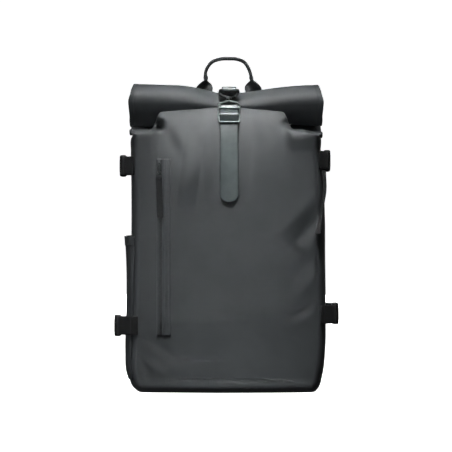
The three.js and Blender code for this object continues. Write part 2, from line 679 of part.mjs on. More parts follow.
const farBar = hookFoot.clone().addScaledVector(hookUp, HOOK_LENGTH - HOOK_BAR / 2);
const farBend = Math.hypot(HOOK_THICK, HOOK_BAR) / 2 + 2 * SEAM_GAP + STRAP_THICK / 2;

function rearStrap() {
  const rise = upTheBack(layerOne);
  const loop = [75, 120, 165, 210, 255, 300].map((degrees) => {
    const a = THREE.MathUtils.degToRad(degrees);
    return farBar.clone().add(new THREE.Vector2(Math.cos(a), Math.sin(a)).multiplyScalar(farBend));
  });
  const behindRoll = [[-0.16, 0.66], [-0.09, 0.82], [0.06, 0.915]].map(
    ([forward, up]) => new THREE.Vector2(NECK_Y - forward * ROLL_DEPTH, fromNeck(up)),
  );
  // Over the roll the strap runs to the hook's bar with a slight rise in the middle
  const overRoll = [[0.36, 0.5], [0.69, 0.5]].map(([t, rises]) =>
    behindRoll[2].clone().lerp(loop[0], t).add(new THREE.Vector2(0, rises * STRAP_THICK)),
  );
  const end = new THREE.Vector2(farBar.x + 2 * farBend, farBar.y - SEAM_GAP);
  return stripAlong([...rise, ...behindRoll, ...overRoll, ...loop, end], STRAP_THICK, REAR_WIDTH, CLOSURE_X);
}

add("rear_strap", rearStrap(), coatedStrap);

// Carry handle: flat legs behind the roll that turn edge-on into the arch
function carryHandle() {
  const rise = upTheBack(SEAM_GAP + HANDLE_THICK / 2);
  const run = rise[rise.length - 1];
  const turnFoot = fromNeck(0.83);
  const turnHead = fromNeck(1.13);
  const half = HANDLE_SPAN / 2;
  const high = HANDLE_TOP - HANDLE_THICK / 2 - turnHead;
  // Across as a share of the half span, up as a share of the arch
  const arch = [[-0.94, 0.36], [-0.8, 0.66], [-0.5, 0.9], [0, 1], [0.47, 0.9], [0.7, 0.64], [0.83, 0.3]];
  const turns = [0, 0.25, 0.5, 0.75, 1];
  const leg = (x, side) => [
    ...rise.map((p) => ({ at: vec(x, p.x, p.y), side: vec(side, 0, 0) })),
    ...turns.map((t) => ({
      at: vec(x + side * 0.06 * half * t * Math.sign(x - HANDLE_X) * -side, run.x + 2 * t, lerp(turnFoot, turnHead, t)),
      side: vec(side * Math.cos((t * Math.PI) / 2), Math.sin((t * Math.PI) / 2), 0),
    })),
  ];
  const left = leg(HANDLE_X - half, 1);
  const right = leg(HANDLE_X + half, -1).reverse();
  const top = arch.map(([x, up]) => ({ at: vec(HANDLE_X + x * half, run.x + 2, turnHead + up * high), side: vec(0, 1, 0) }));
  return ribbon([...left, ...top, ...right], HANDLE_WIDTH, HANDLE_THICK);
}

add("carry_handle", carryHandle(), webbing);

// Back pad and shoulder straps
function roundedPlate(width, height, thickness, corner, bevel) {
  const w = width / 2 - bevel;
  const h = height / 2 - bevel;
  const shape = new THREE.Shape();
  shape.moveTo(-w + corner, -h);
  shape.lineTo(w - corner, -h);
  shape.absarc(w - corner, -h + corner, corner, -Math.PI / 2, 0, false);
  shape.absarc(w - corner, h - corner, corner, 0, Math.PI / 2, false);
  shape.absarc(-w + corner, h - corner, corner, Math.PI / 2, Math.PI, false);
  shape.absarc(-w + corner, -h + corner, corner, Math.PI, 1.5 * Math.PI, false);
  const settings = { depth: thickness - bevel, bevelEnabled: true, bevelThickness: bevel, bevelSize: bevel, bevelSegments: 2, curveSegments: 4 };
  const plate = new THREE.ExtrudeGeometry(shape, settings);
  // The bevelled face points along +Z, and the flat one is cut where the plate lies on the cloth
  const box = new THREE.BoxGeometry(2 * width, 2 * height, 4 * thickness);
  box.translate(0, 0, 2 * thickness);
  return geometryOf(solidOf(plate).intersect(solidOf(box)));
}

const padY = BACK_Y + SEAM_GAP;
const padPlate = roundedPlate(PAD_WIDTH, PAD_TOP - PAD_FOOT, PAD_THICK, 2 * PAD_THICK, 0.42 * PAD_THICK);
padPlate.rotateX(-Math.PI / 2);
padPlate.rotateY(Math.PI);
padPlate.translate(0, padY, (PAD_TOP + PAD_FOOT) / 2);
add("back_pad", padPlate, padding);

const padBack = padY + PAD_THICK;
// Down the strap: out from the middle, away from the pad, and height, as shares of the strap's run
const SHOULDER_ROWS = [
  [0.36, -0.1, 0.985],
  [0.365, 0.32, 1.0],
  [0.375, 0.78, 0.97],
  [0.41, 1.1, 0.86],
  [0.46, 1.25, 0.68],
  [0.52, 1.25, 0.45],
  [0.58, 1.12, 0.22],
  [0.64, 0.85, 0.0],
];
const SHOULDER_BOW = 21; // how far the strap stands off the pad at most

function shoulderStations(side) {
  return SHOULDER_ROWS.map(([out, away, up]) => ({
    at: vec((side * out * PAD_WIDTH) / 2, padBack + away * SHOULDER_BOW, lerp(SHOULDER_FOOT, SHOULDER_TOP, up)),
    side: vec(1, 0, 0),
  }));
}

const LADDER_WIDTH = WEB_WIDTH + 8;
const LADDER_HEIGHT = 30;
const LADDER_THICK = 5;
const LADDER_BAR = 5;

function ladderLock() {
  const frame = new THREE.BoxGeometry(LADDER_WIDTH, LADDER_THICK, LADDER_HEIGHT);
  const window = new THREE.BoxGeometry(WEB_WIDTH + 2, 2 * LADDER_THICK, (LADDER_HEIGHT - 3 * LADDER_BAR) / 2);
  const lower = window.clone().translate(0, 0, -(LADDER_HEIGHT - 3 * LADDER_BAR) / 4 - LADDER_BAR / 2);
  const upper = window.clone().translate(0, 0, (LADDER_HEIGHT - 3 * LADDER_BAR) / 4 + LADDER_BAR / 2);
  return geometryOf(solidOf(frame).subtract(solidOf(lower)).subtract(solidOf(upper)));
}

for (const [word, side] of [["left", -1], ["right", 1]]) {
  const stations = shoulderStations(side);
  add(`shoulder_strap_${word}`, ribbon(stations, SHOULDER_WIDTH, SHOULDER_THICK, 0.12), padding);
  const foot = stations[stations.length - 1].at;
  const before = stations[stations.length - 2].at;
  const down = vec().subVectors(foot, before).normalize();
  const ladder = add(`shoulder_adjuster_${word}`, ladderLock(), plastic);
  ladder.position.copy(foot).addScaledVector(down, LADDER_HEIGHT / 2 + SEAM_GAP);
  ladder.quaternion.setFromUnitVectors(vec(0, 0, -1), down);
  const normal = vec(0, 1, 0).applyQuaternion(ladder.quaternion);
  const across = vec(1, 0, 0).applyQuaternion(ladder.quaternion);
  const place = ([along, out]) => ({
    at: ladder.position.clone().addScaledVector(down, along).addScaledVector(normal, out),
    side: across,
  });
  // From the free tail in front, round the middle bar, down behind the buckle to the sewn end
  const inFront = LADDER_THICK / 2 + WEB_THICK / 2 + 1.5 * SEAM_GAP;
  const turn = LADDER_BAR / 2 + WEB_THICK / 2 + 2 * SEAM_GAP;
  const throughBuckle = [
    [LADDER_HEIGHT * 2.2, 2 * inFront],
    [LADDER_HEIGHT / 2, inFront],
    [-LADDER_BAR * 0.55, inFront],
    [-turn - SEAM_GAP, inFront * 0.55],
    [-turn - SEAM_GAP, -inFront * 0.55],
    [-LADDER_BAR * 0.55, -inFront],
    [LADDER_HEIGHT * 0.62, -inFront],
  ].map(place);
  const sewnX = side * 0.349 * BODY_WIDTH;
  const toBody = [
    [padBack + 1.3 * WEB_THICK, PAD_FOOT + 0.7 * PAD_THICK],
    [padBack - 0.8 * WEB_THICK, PAD_FOOT - 0.25 * PAD_THICK],
    [BACK_Y + WEB_THICK, PAD_FOOT - 1.15 * PAD_THICK],
    [BACK_Y + SEAM_GAP + WEB_THICK / 2, PAD_FOOT - 2.3 * PAD_THICK],
  ].map(([y, z]) => ({ at: vec(sewnX, y, z), side: vec(1, 0, 0) }));
  add(`shoulder_webbing_${word}`, ribbon([...throughBuckle, ...toBody], WEB_WIDTH, WEB_THICK), webbing);
}

// The bag's outside at any height
function rowAt(z) {
  const i = bodyRows.findIndex((row, k) => k && row.back[1] >= z);
  const [low, high] = [bodyRows[i - 1], bodyRows[i]];
  const t = (z - low.back[1]) / (high.back[1] - low.back[1]);
  const between = (key) => [lerp(low[key][0], high[key][0], t), z];
  return {
    front: between("front"),
    shoulder: between("shoulder"),
    back: between("back"),
    half: { left: lerp(low.half.left, high.half.left, t), right: lerp(low.half.right, high.half.right, t) },
    tuck: lerp(low.tuck, high.tuck, t),
  };
}

// A place on the outside by half-ring position (0 middle of the front, 8 front seam, 13 back corner),
// height, and distance off the cloth
const FRONT_SEAM = FRONT_SHARES.length - 1;
const BACK_SEAM = FRONT_SEAM + SIDE_SHARES.length;

function offCloth(side, position, z, distance) {
  const ring = bodyHalfRing(rowAt(z), side);
  const i = Math.min(Math.floor(position), ring.length - 2);
  const at = ring[i].clone().lerp(ring[i + 1], position - i);
  const along = vec().subVectors(ring[Math.ceil(position + 0.5)], ring[Math.max(Math.floor(position - 0.5), 0)]);
  return at.addScaledVector(vec(along.y, -along.x, 0).multiplyScalar(side).normalize(), distance);
}

// The half-ring position of a place left of the middle
function positionOf(x, z) {
  const ring = bodyHalfRing(rowAt(z), -1);
  const i = ring.findIndex((p, k) => k && p.x <= x);
  return i - 1 + (x - ring[i - 1].x) / (ring[i].x - ring[i - 1].x);
}

// A strip on the left of the front panel, between two distances from the middle
function frontStrip(fromX, toX, foot, top, thickness) {
  const heights = [foot, ...bodyRows.map((row) => row.back[1]).filter((z) => z > foot + TAPE_WIDTH && z < top - TAPE_WIDTH), top];
  const rings = heights.map((z) =>
    [[fromX, SEAM_GAP], [toX, SEAM_GAP], [toX, SEAM_GAP + thickness], [fromX, SEAM_GAP + thickness]].map(([x, out]) =>
      offCloth(-1, positionOf(x, z), z, out),
    ),
  );
  return loftSolid(rings);
}

const tapeLeft = WELT_LEFT - SEAM_GAP - TAPE_WIDTH;
add("zip_welt", frontStrip(WELT_LEFT, WELT_LEFT + WELT_WIDTH, ZIP_FOOT, ZIP_TOP, WELT_THICK), cloth);
add("zip_tape", frontStrip(tapeLeft, tapeLeft + TAPE_WIDTH, ZIP_FOOT, ZIP_TOP, TAPE_THICK), webbing);

// The slider and its tab hang from the zip's closed end, leaning as the cloth does
const tapeX = tapeLeft + TAPE_WIDTH / 2;
const tapeFace = (z) => offCloth(-1, positionOf(WELT_LEFT, z), z, SEAM_GAP + TAPE_THICK).y;

function hungOnTape(geometry, top, length, standoff) {
  const lean = Math.atan2(tapeFace(top) - tapeFace(top - length), length);
  geometry.rotateX(-lean);
  return geometry.translate(tapeX, tapeFace(top) - standoff, top);
}

function zipSlider() {
  const w = SLIDER_WIDTH / 2;
  const l = SLIDER_LENGTH;
  const outline = [[-0.35 * w, 0], [0.5 * w, 0], [w, -0.3 * l], [0.9 * w, -l], [-w, -l], [-0.9 * w, -0.6 * l]];
  const shape = new THREE.Shape(outline.map((p) => new THREE.Vector2(...p)));
  const body = new THREE.ExtrudeGeometry(shape, { depth: SLIDER_THICK, bevelEnabled: false });
  return body.rotateX(Math.PI / 2);
}

const sliderTop = ZIP_TOP - 0.3 * SLIDER_LENGTH;
add("zip_slider", hungOnTape(zipSlider(), sliderTop, SLIDER_LENGTH, 2 * SEAM_GAP), gunmetal);

const tabTop = sliderTop - SLIDER_LENGTH - 2 * SEAM_GAP;
const tabPlate = new THREE.BoxGeometry(TAB_WIDTH, TAB_THICK, TAB_LENGTH);
tabPlate.translate(0, -TAB_THICK / 2, -TAB_LENGTH / 2);
tabPlate.rotateY(THREE.MathUtils.degToRad(-2));
add("zip_puller", hungOnTape(tabPlate, tabTop, TAB_LENGTH, SLIDER_THICK / 2), webbing);

// Side pocket
// Position round the corner, and the share of the gape there
const POCKET_COLUMNS = [
  [FRONT_SEAM + 0.5, 0.0],
  [FRONT_SEAM + 0.75, 0.3],
  [FRONT_SEAM + 1, 0.62],
  [FRONT_SEAM + 1.5, 0.9],
  [FRONT_SEAM + 2, 1.0],
  [FRONT_SEAM + 3, 1.0],
  [FRONT_SEAM + 4, 0.92],
  [FRONT_SEAM + 4.5, 0.65],
  [FRONT_SEAM + 4.85, 0.25],
  [FRONT_SEAM + 5, 0.0],
];
// Height share and the share of the gape there
const POCKET_ROWS = [
  [0.0, 0.0],
  [0.04, 0.1],
  [0.16, 0.25],
  [0.32, 0.35],
  [0.55, 0.42],
  [0.76, 0.58],
  [0.92, 0.82],
  [1.0, 1.0],
];
const pocketStandoff = (column, row) => 3 * SEAM_GAP + column * row * POCKET_GAPE;

function sidePocket() {
  const rings = POCKET_ROWS.map(([height, row]) => {
    const z = lerp(POCKET_FOOT, POCKET_TOP, height);
    const skin = (extra) => POCKET_COLUMNS.map(([at, column]) => offCloth(-1, at, z, pocketStandoff(column, row) + extra));
    return [...skin(0), ...skin(POCKET_WALL).reverse()];
  });
  return loftSolid(rings);
}

add("side_pocket", sidePocket(), cloth);

// Side straps
// Position round the side, and how far the webbing stands off the cloth
const SIDE_STRAP_LINE = [
  [FRONT_SEAM + 0.55, 0.0],
  [FRONT_SEAM + 1, 0.35],
  [FRONT_SEAM + 1.5, 0.8],
  [FRONT_SEAM + 2.15, 1.0],
  [FRONT_SEAM + 3.75, 1.0],
  [FRONT_SEAM + 4.4, 0.55],
  [FRONT_SEAM + 5, 0.1],
  [FRONT_SEAM + 5.8, 0.0],
];
const SIDE_STANDOFF = 9;
const UPPER_LEFT_DROP = 68; // from the neck down to each upper strap's middle
const UPPER_RIGHT_DROP = 58;
const LOWER_LEFT_Z = 110;
const LOWER_RIGHT_Z = 127;
// Name, side, height in front, drop towards the back, standoff as a share, what it lies on, and how far round
// the front it starts
const SIDE_STRAPS = [
  ["upper_left", -1, BODY_HEIGHT - UPPER_LEFT_DROP, 2, 1.0, 0, 0],
  ["upper_right", 1, BODY_HEIGHT - UPPER_RIGHT_DROP, 4, 0.8, 3, 0],
  ["lower_left", -1, LOWER_LEFT_Z, 6, 1.05, POCKET_WALL + 0.45 * POCKET_GAPE, 0.45],
  ["lower_right", 1, LOWER_RIGHT_Z, 0, 1.65, 0, 0.1],
];

function sideBuckle(middle, across) {
  const l = SIDE_BUCKLE_LENGTH / 2;
  const h = SIDE_BUCKLE_HEIGHT / 2;
  const c = SIDE_BUCKLE_THICK * 0.35;
  const t = SIDE_BUCKLE_THICK / 2;
  // Seen along the strap: thickness across and height up
  const shape = new THREE.Shape([[-t, -h], [t - c, -h], [t, -h + c], [t, h - c], [t - c, h], [-t, h]].map((p) => new THREE.Vector2(...p)));
  const slot = new THREE.Path();
  const s = WEB_THICK / 2 + SEAM_GAP;
  const w = WEB_WIDTH / 2 + SEAM_GAP;
  [[-s, -w], [-s, w], [s, w], [s, -w]].forEach(([x, y], i) => (i ? slot.lineTo(x, y) : slot.moveTo(x, y)));
  slot.closePath();
  shape.holes.push(slot);
  const sleeve = new THREE.ExtrudeGeometry(shape, { depth: 2 * l, bevelEnabled: false });
  sleeve.translate(0, 0, -l);
  const up = vec().crossVectors(middle.along, across).normalize();
  up.multiplyScalar(Math.sign(up.z));
  const basis = new THREE.Matrix4().makeBasis(across, up, vec().crossVectors(across, up));
  return sleeve.applyMatrix4(basis.setPosition(middle.at));
}

for (const [word, side, frontZ, drop, standoff, base, wrap] of SIDE_STRAPS) {
  const first = SIDE_STRAP_LINE[0][0];
  const last = SIDE_STRAP_LINE[SIDE_STRAP_LINE.length - 1][0];
  const station = ([position, share]) => {
    const z = frontZ - (drop * (position - first)) / (last - first);
    const out = 3 * SEAM_GAP + WEB_THICK / 2 + base * Math.min(1, 0.45 + share) + share * standoff * SIDE_STANDOFF;
    return { at: offCloth(side, position, z, out), side: vec(0, 0, 1) };
  };
  const line = SIDE_STRAP_LINE.map(station);
  if (wrap) {
    const start = [[wrap + 0.3, 3], [wrap + 0.05, 7], [wrap * 0.5, 11]].map(([back, gaps]) => ({
      at: offCloth(side, first - back, frontZ, gaps * SEAM_GAP + WEB_THICK / 2),
      side: vec(0, 0, 1),
    }));
    line.unshift(...start);
  }
  add(`side_strap_${word}`, ribbon(line, WEB_WIDTH, WEB_THICK), webbing);
  const [a, b] = line.slice(line.length - 5, line.length - 3).map((stop) => stop.at);
  const along = vec().subVectors(b, a).normalize();
  const outward = vec(side, 0, 0).addScaledVector(along, -side * along.x).normalize();
  const middle = { at: a.clone().lerp(b, 0.5), along };
  add(`side_buckle_${word}`, sideBuckle(middle, outward), plastic);
}

// The free end of the upper right strap hangs down by the front corner, edge-on to the front:
// share of its length, position round the corner, share of its width off the cloth, and turn to the right
const TAIL_ROWS = [
  [0.0, 0.6, 0.52, 0.35],
  [0.3, 0.3, 0.6, 0.26],
  [0.62, 0.0, 0.55, 0.19],
  [1.0, -0.2, 0.66, 0.5],
];
const tailTop = BODY_HEIGHT - UPPER_RIGHT_DROP - WEB_WIDTH / 2 - WEB_THICK;
const strapTail = TAIL_ROWS.map(([down, position, off, turn]) => ({
  at: offCloth(1, FRONT_SEAM + position, tailTop - down * TAIL_LENGTH, off * TAIL_WIDTH),
  side: vec(turn, -Math.sqrt(1 - turn * turn), 0),
}));
add("strap_tail", ribbon(strapTail, TAIL_WIDTH, WEB_THICK), webbing);

export default backpack;
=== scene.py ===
# %% [markdown]
# # A rolltop backpack of coated cloth
# The bag stands on its base with its mouth rolled shut. The rigid frame comes packed from the CAD
# model, and every soft or metal piece below is dressed on top of it, in the same place and size.
# Lengths are written in millimetres, as on a pattern sheet, and become metres when a mesh is made.

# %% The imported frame
import functools
import math

import bmesh
import bpy
import numpy as np
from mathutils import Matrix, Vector


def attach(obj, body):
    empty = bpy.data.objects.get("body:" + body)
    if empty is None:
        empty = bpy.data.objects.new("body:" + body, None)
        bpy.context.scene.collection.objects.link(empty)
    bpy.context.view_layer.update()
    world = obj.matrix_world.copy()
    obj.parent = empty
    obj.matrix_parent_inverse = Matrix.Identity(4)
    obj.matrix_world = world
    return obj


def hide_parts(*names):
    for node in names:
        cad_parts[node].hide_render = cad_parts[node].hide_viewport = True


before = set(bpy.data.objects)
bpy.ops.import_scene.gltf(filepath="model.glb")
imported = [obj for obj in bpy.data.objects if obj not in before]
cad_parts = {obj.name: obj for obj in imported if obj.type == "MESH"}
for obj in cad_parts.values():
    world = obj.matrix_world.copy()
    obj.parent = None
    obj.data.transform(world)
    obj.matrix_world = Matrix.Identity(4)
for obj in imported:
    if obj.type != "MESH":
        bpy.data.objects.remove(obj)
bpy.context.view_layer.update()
MM = 0.001

# %% [markdown]
# ## Camera and light
# A catalogue picture is taken from far away with a long lens, straight in front and at about half the
# bag's height, so its upright edges stay parallel. One pixel of a 452 pixel frame is 1.62 mm of the bag.

# %% Camera
PIXEL = 1.62
FRAME_PIXELS = 452
CAMERA_DISTANCE = 5200.0
BASE_PIXEL = 392  # the row that the bag stands on
AIM = Vector((0.0, -40.0, (BASE_PIXEL - FRAME_PIXELS / 2) * PIXEL))
ELEVATION = math.radians(1.2)

camera = bpy.data.objects.new("camera", bpy.data.cameras.new("camera"))
bpy.context.scene.collection.objects.link(camera)
back = Vector((0, -math.cos(ELEVATION), math.sin(ELEVATION)))
camera.location = (AIM + back * CAMERA_DISTANCE) * MM
camera.rotation_euler = (-back).to_track_quat("-Z", "Y").to_euler()
camera.data.lens = camera.data.sensor_width * CAMERA_DISTANCE / (FRAME_PIXELS * PIXEL)
camera.data.clip_end = 100
bpy.context.scene.camera = camera
bpy.context.scene.view_settings.view_transform = "Standard"
print("lens", round(camera.data.lens), "mm")

# %% [markdown]
# The photograph has a white ground and one wide soft light overhead, a little in front, so cloth that
# leans up is far brighter than cloth that stands upright. A narrow beam lifts the middle of the front, a
# low light on the left draws the folds, a weak one fills the front, and a large one lights the back. A sky
# alone would be simpler, but it lights every side alike.

# %% Floor, sky and lights
world = bpy.data.worlds.new("studio")
world.use_nodes = True
world.node_tree.nodes["Background"].inputs["Color"].default_value = (1, 1, 1, 1)
world.node_tree.nodes["Background"].inputs["Strength"].default_value = 0.04
bpy.context.scene.world = world


def softbox(name, place, aim, width, height, power, spread=180):
    """A rectangular area light at a place in millimetres, turned to what it lights"""
    light = bpy.data.lights.new(name, "AREA")
    light.spread = math.radians(spread)
    light.shape = "RECTANGLE"
    light.size, light.size_y, light.energy = width * MM, height * MM, power
    lamp = bpy.data.objects.new(name, light)
    bpy.context.scene.collection.objects.link(lamp)
    lamp.location = Vector(place) * MM
    lamp.rotation_euler = (Vector(aim) - Vector(place)).to_track_quat("-Z", "Y").to_euler()
    return lamp


softbox("light_key", (-60, -850, 2800), (0, -40, 300), 1100, 900, 50)
softbox("light_centre", (10, -1180, 2640), (0, -40, 300), 260, 900, 1.4, spread=10)
softbox("light_left", (-3000, -2400, 900), (-120, 0, 240), 700, 1100, 24)
softbox("light_fill", (-30, -3600, 900), (0, 0, 260), 400, 900, 2)
softbox("light_back", (0, 3600, 600), (0, 60, 260), 1600, 1600, 110)
print("lights:", len(bpy.data.lights))

# %% [markdown]
# ## Smooth lines and surfaces
# A bag is sewn from few pattern pieces, so a short table of rows says its shape. A cubic curve with a
# slope taken from both neighbours runs smoothly through such a table without leaving it by much.


# %% Curves through tables
def smooth_at(knots, values, places):
    """Values at the places, on a cubic curve through the values at the knots"""
    knots = np.asarray(knots, float)
    values = np.asarray(values, float)
    places = np.asarray(places, float)
    slopes = np.gradient(values, knots, axis=0)
    i = np.clip(np.searchsorted(knots, places, side="right") - 1, 0, len(knots) - 2)
    width = knots[i + 1] - knots[i]
    t = (places - knots[i]) / width
    shape = (-1,) + (1,) * (values.ndim - 1)
    t, width = t.reshape(shape), width.reshape(shape)
    start = (2 * t**3 - 3 * t**2 + 1) * values[i] + (t**3 - 2 * t**2 + t) * width * slopes[i]
    end = (3 * t**2 - 2 * t**3) * values[i + 1] + (t**3 - t**2) * width * slopes[i + 1]
    return start + end


def lengths_along(points):
    """Distance from the first point to each point of a line"""
    steps = np.linalg.norm(np.diff(points, axis=0), axis=-1)
    return np.concatenate([[0.0], np.cumsum(steps)])


def smooth_line(points, spacing, closed=False):
    """A smooth line through the points, with evenly spaced points of its own"""
    points = np.asarray(points, float)
    count = len(points)
    if closed:
        points = np.concatenate([points[-3:], points, points[:4]])
    knots = lengths_along(points)
    first, last = (knots[3], knots[3 + count]) if closed else (knots[0], knots[-1])
    fine = smooth_at(knots, points, np.linspace(first, last, 12 * count))
    run = lengths_along(fine)
    steps = max(4, int(round(run[-1] / spacing)))
    even = np.linspace(0, run[-1], steps + 1)
    line = np.stack([np.interp(even, run, fine[:, k]) for k in range(fine.shape[1])], axis=1)
    return line[:-1] if closed else line


def unit(vectors):
    """The vectors, each one long"""
    return vectors / np.maximum(np.linalg.norm(vectors, axis=-1, keepdims=True), 1e-9)


def ease(low, high, x):
    """0 at low and beyond, 1 at high and beyond, and smooth between them"""
    t = np.clip((np.asarray(x, float) - low) / (high - low), 0, 1)
    return t * t * (3 - 2 * t)


print("half way between two rows:", smooth_at([0, 1, 2], [0, 1, 0], [0.5]))

# %% [markdown]
# Cloth, wire and plates are all rows of points with quads between them. A mesh built from such a grid is
# exact and quick to make, and its rows and columns also give the finish its pattern coordinates.


# %% Meshes from grids of points
def grid_quads(rows, columns, start=0, closed=False):
    """Quads over a grid of points that starts at a given number, closed round its columns or not"""
    last = columns if closed else columns - 1
    i, j = np.meshgrid(np.arange(rows - 1), np.arange(last), indexing="ij")
    k = (j + 1) % columns
    low, high = i * columns, (i + 1) * columns
    quads = np.stack([low + j, low + k, high + k, high + j], axis=-1)
    return (quads.reshape(-1, 4) + start).tolist()


def fan(ring, centre):
    """Triangles from a ring's points to one point in its middle"""
    return [[a, b, centre] for a, b in zip(ring, ring[1:] + ring[:1])]


def lay_pattern(mesh, pattern, girth):
    """Gives each face corner its point's pattern coordinates, without a jump where a closed girth meets"""
    corners = np.zeros(len(mesh.loops), int)
    mesh.loops.foreach_get("vertex_index", corners)
    starts, totals = np.zeros(len(mesh.polygons), int), np.zeros(len(mesh.polygons), int)
    mesh.polygons.foreach_get("loop_start", starts)
    mesh.polygons.foreach_get("loop_total", totals)
    uv = np.asarray(pattern, float)[corners]
    if girth:
        first = np.repeat(uv[starts, 0], totals)
        uv[:, 0] += girth * np.round((first - uv[:, 0]) / girth)
    mesh.uv_layers.new(name="UVMap").data.foreach_set("uv", uv.ravel())


def together(*parts):
    """One set of points, faces and pattern from several"""
    points, faces, patterns, start = [], [], [], 0
    for part_points, part_faces, part_pattern in parts:
        points.append(part_points)
        patterns.append(part_pattern)
        faces += [[start + v for v in face] for face in part_faces]
        start += len(part_points)
    return np.concatenate(points), faces, np.concatenate(patterns)


print("a grid of 3 by 4 points has", len(grid_quads(3, 4)), "quads")

# %% [markdown]
# A strap is a flat section with round edges, swept along a line, and wire is a round one. A curve object
# with a bevel would sweep them too, but here each strap's width has to point a given way at every place.


# %% Straps
def strap(line, side, width, thick, flat_points=7):
    """A flat strap with rounded edges along a line; side points across it and its outside is side x line"""
    line = np.asarray(line, float)
    side = unit(np.broadcast_to(np.asarray(side, float), line.shape))
    outward = unit(np.cross(side, unit(np.gradient(line, axis=0))))
    half = np.broadcast_to(np.asarray(width, float) / 2, (len(line),))[:, None]
    edge = np.minimum(thick / 2, half * 0.98)
    turn = np.radians([60, 30, 0, -30, -60])
    flat = np.linspace(-1, 1, flat_points)
    across = np.concatenate([
        flat * (half - edge), (half - edge) + edge * np.cos(turn),
        flat[::-1] * (half - edge), -(half - edge) - edge * np.cos(turn),
    ], axis=1)
    level = np.ones(flat_points)
    off = np.concatenate([level, np.sin(turn), -level, -np.sin(turn)]) * thick / 2
    rings = line[:, None] + side[:, None] * across[..., None] + outward[:, None] * off[None, :, None]
    rows, size = rings.shape[:2]
    faces = grid_quads(rows, size, 0, closed=True)
    faces += [list(range(size)), list(range((rows - 1) * size, rows * size))]
    along = np.repeat(lengths_along(line), size)
    pattern = np.stack([across.ravel(), along], axis=1)
    return rings.reshape(-1, 3), faces, pattern


print("points round a strap:", len(strap([[0, 0, 0], [0, 0, 1]], (1, 0, 0), 30, 2)[0]) // 2)


# %% Wires
def wire(line, radius, closed=False, sides=12):
    """Round wire along a line, whose radius may change from point to point"""
    line = np.asarray(line, float)
    if closed:
        tangent = unit(np.roll(line, -1, axis=0) - np.roll(line, 1, axis=0))
    else:
        tangent = unit(np.gradient(line, axis=0))
    across = np.zeros_like(line)
    guide = np.array([0.0, 0.0, 1.0]) if abs(tangent[0, 2]) < 0.8 else np.array([0.0, 1.0, 0.0])
    for i, direction in enumerate(tangent):
        guide = guide - direction * np.dot(guide, direction)
        guide = guide / np.linalg.norm(guide)
        across[i] = guide
    up = np.cross(tangent, across)
    angles = np.linspace(0, 2 * math.pi, sides, endpoint=False)
    reach = np.broadcast_to(np.asarray(radius, float), (len(line),))[:, None, None]
    rings = line[:, None] + reach * (
        across[:, None] * np.cos(angles)[None, :, None] + up[:, None] * np.sin(angles)[None, :, None]
    )
    rows = len(line)
    if closed:
        count = rows * sides
        faces = [[v % count for v in face] for face in grid_quads(rows + 1, sides, 0, closed=True)]
    else:
        faces = grid_quads(rows, sides, 0, closed=True)
        faces += [list(range(sides)), list(range((rows - 1) * sides, rows * sides))]
    points = rings.reshape(-1, 3)
    return points, faces, points[:, [0, 2]]


print("points round a wire:", len(wire([[0, 0, 0], [0, 0, 1]], 1)[0]) // 2)

# %% [markdown]
# Hard parts are plates with rounded rims or turned shapes. Their outlines are a few corners, each rounded
# by the same curve, and a section that steps inwards towards both faces makes the rim.


# %% Plates, turned shapes and rounded corners
def plate(outline, thick, rounding, steps=4):
    """A flat plate with rounded rims: its outline holds x and up, and its thickness points out"""
    outline = np.asarray(outline, float)
    around = np.roll(outline, -1, axis=0) - np.roll(outline, 1, axis=0)
    inward = unit(np.stack([-around[:, 1], around[:, 0]], axis=1))
    (x, up), (next_x, next_up) = outline.T, np.roll(outline, -1, axis=0).T
    inward = inward * np.sign(np.sum(x * next_up - next_x * up))
    turn = np.linspace(0, math.pi / 2, steps + 1)
    insets = rounding * (1 - np.sin(turn))
    heights = thick / 2 - rounding * (1 - np.cos(turn))
    insets, heights = np.concatenate([insets, insets[::-1]]), np.concatenate([heights, -heights[::-1]])
    rings = [np.column_stack([outline + inward * inset, np.full(len(outline), height)])
             for inset, height in zip(insets, heights)]
    size = len(outline)
    faces = grid_quads(len(rings), size, 0, closed=True)
    faces += [list(range(size)), list(range((len(rings) - 1) * size, len(rings) * size))]
    points = np.concatenate(rings)
    return points, faces, points[:, :2]


def turned(profile, sides=24):
    """A solid of revolution round the second axis: its profile holds radius and up"""
    profile = np.asarray(profile, float)
    angles = np.linspace(0, 2 * math.pi, sides, endpoint=False)
    rings = np.stack(np.broadcast_arrays(
        profile[:, :1] * np.cos(angles), profile[:, 1:2], profile[:, :1] * np.sin(angles)
    ), axis=-1)
    faces = grid_quads(len(profile), sides, 0, closed=True)
    faces += [list(range(sides)), list(range((len(profile) - 1) * sides, len(profile) * sides))]
    points = rings.reshape(-1, 3)
    return points, faces, points[:, :2]


def rounded(corners, radius, steps=5, closed=True):
    """The line through the corners, each one rounded"""
    corners = np.asarray(corners, float)
    count = len(corners)
    line = []
    for i, corner in enumerate(corners):
        if not closed and i in (0, count - 1):
            line.append(corner)
            continue
        before, after = corners[i - 1] - corner, corners[(i + 1) % count] - corner
        reach = min(radius, 0.49 * np.linalg.norm(before), 0.49 * np.linalg.norm(after))
        start, end = corner + unit(before) * reach, corner + unit(after) * reach
        for t in np.linspace(0, 1, steps):
            line.append(start * (1 - t) ** 2 + corner * 2 * t * (1 - t) + end * t**2)
    return np.array(line)


print("a rounded square has", len(rounded([[0, 0], [1, 0], [1, 1], [0, 1]], 0.2)), "points")

# %% [markdown]
# A finished piece gets its mesh, its pattern coordinates and its finish, and then rides on a body of the
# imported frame, in place of the CAD nodes that it stands for.


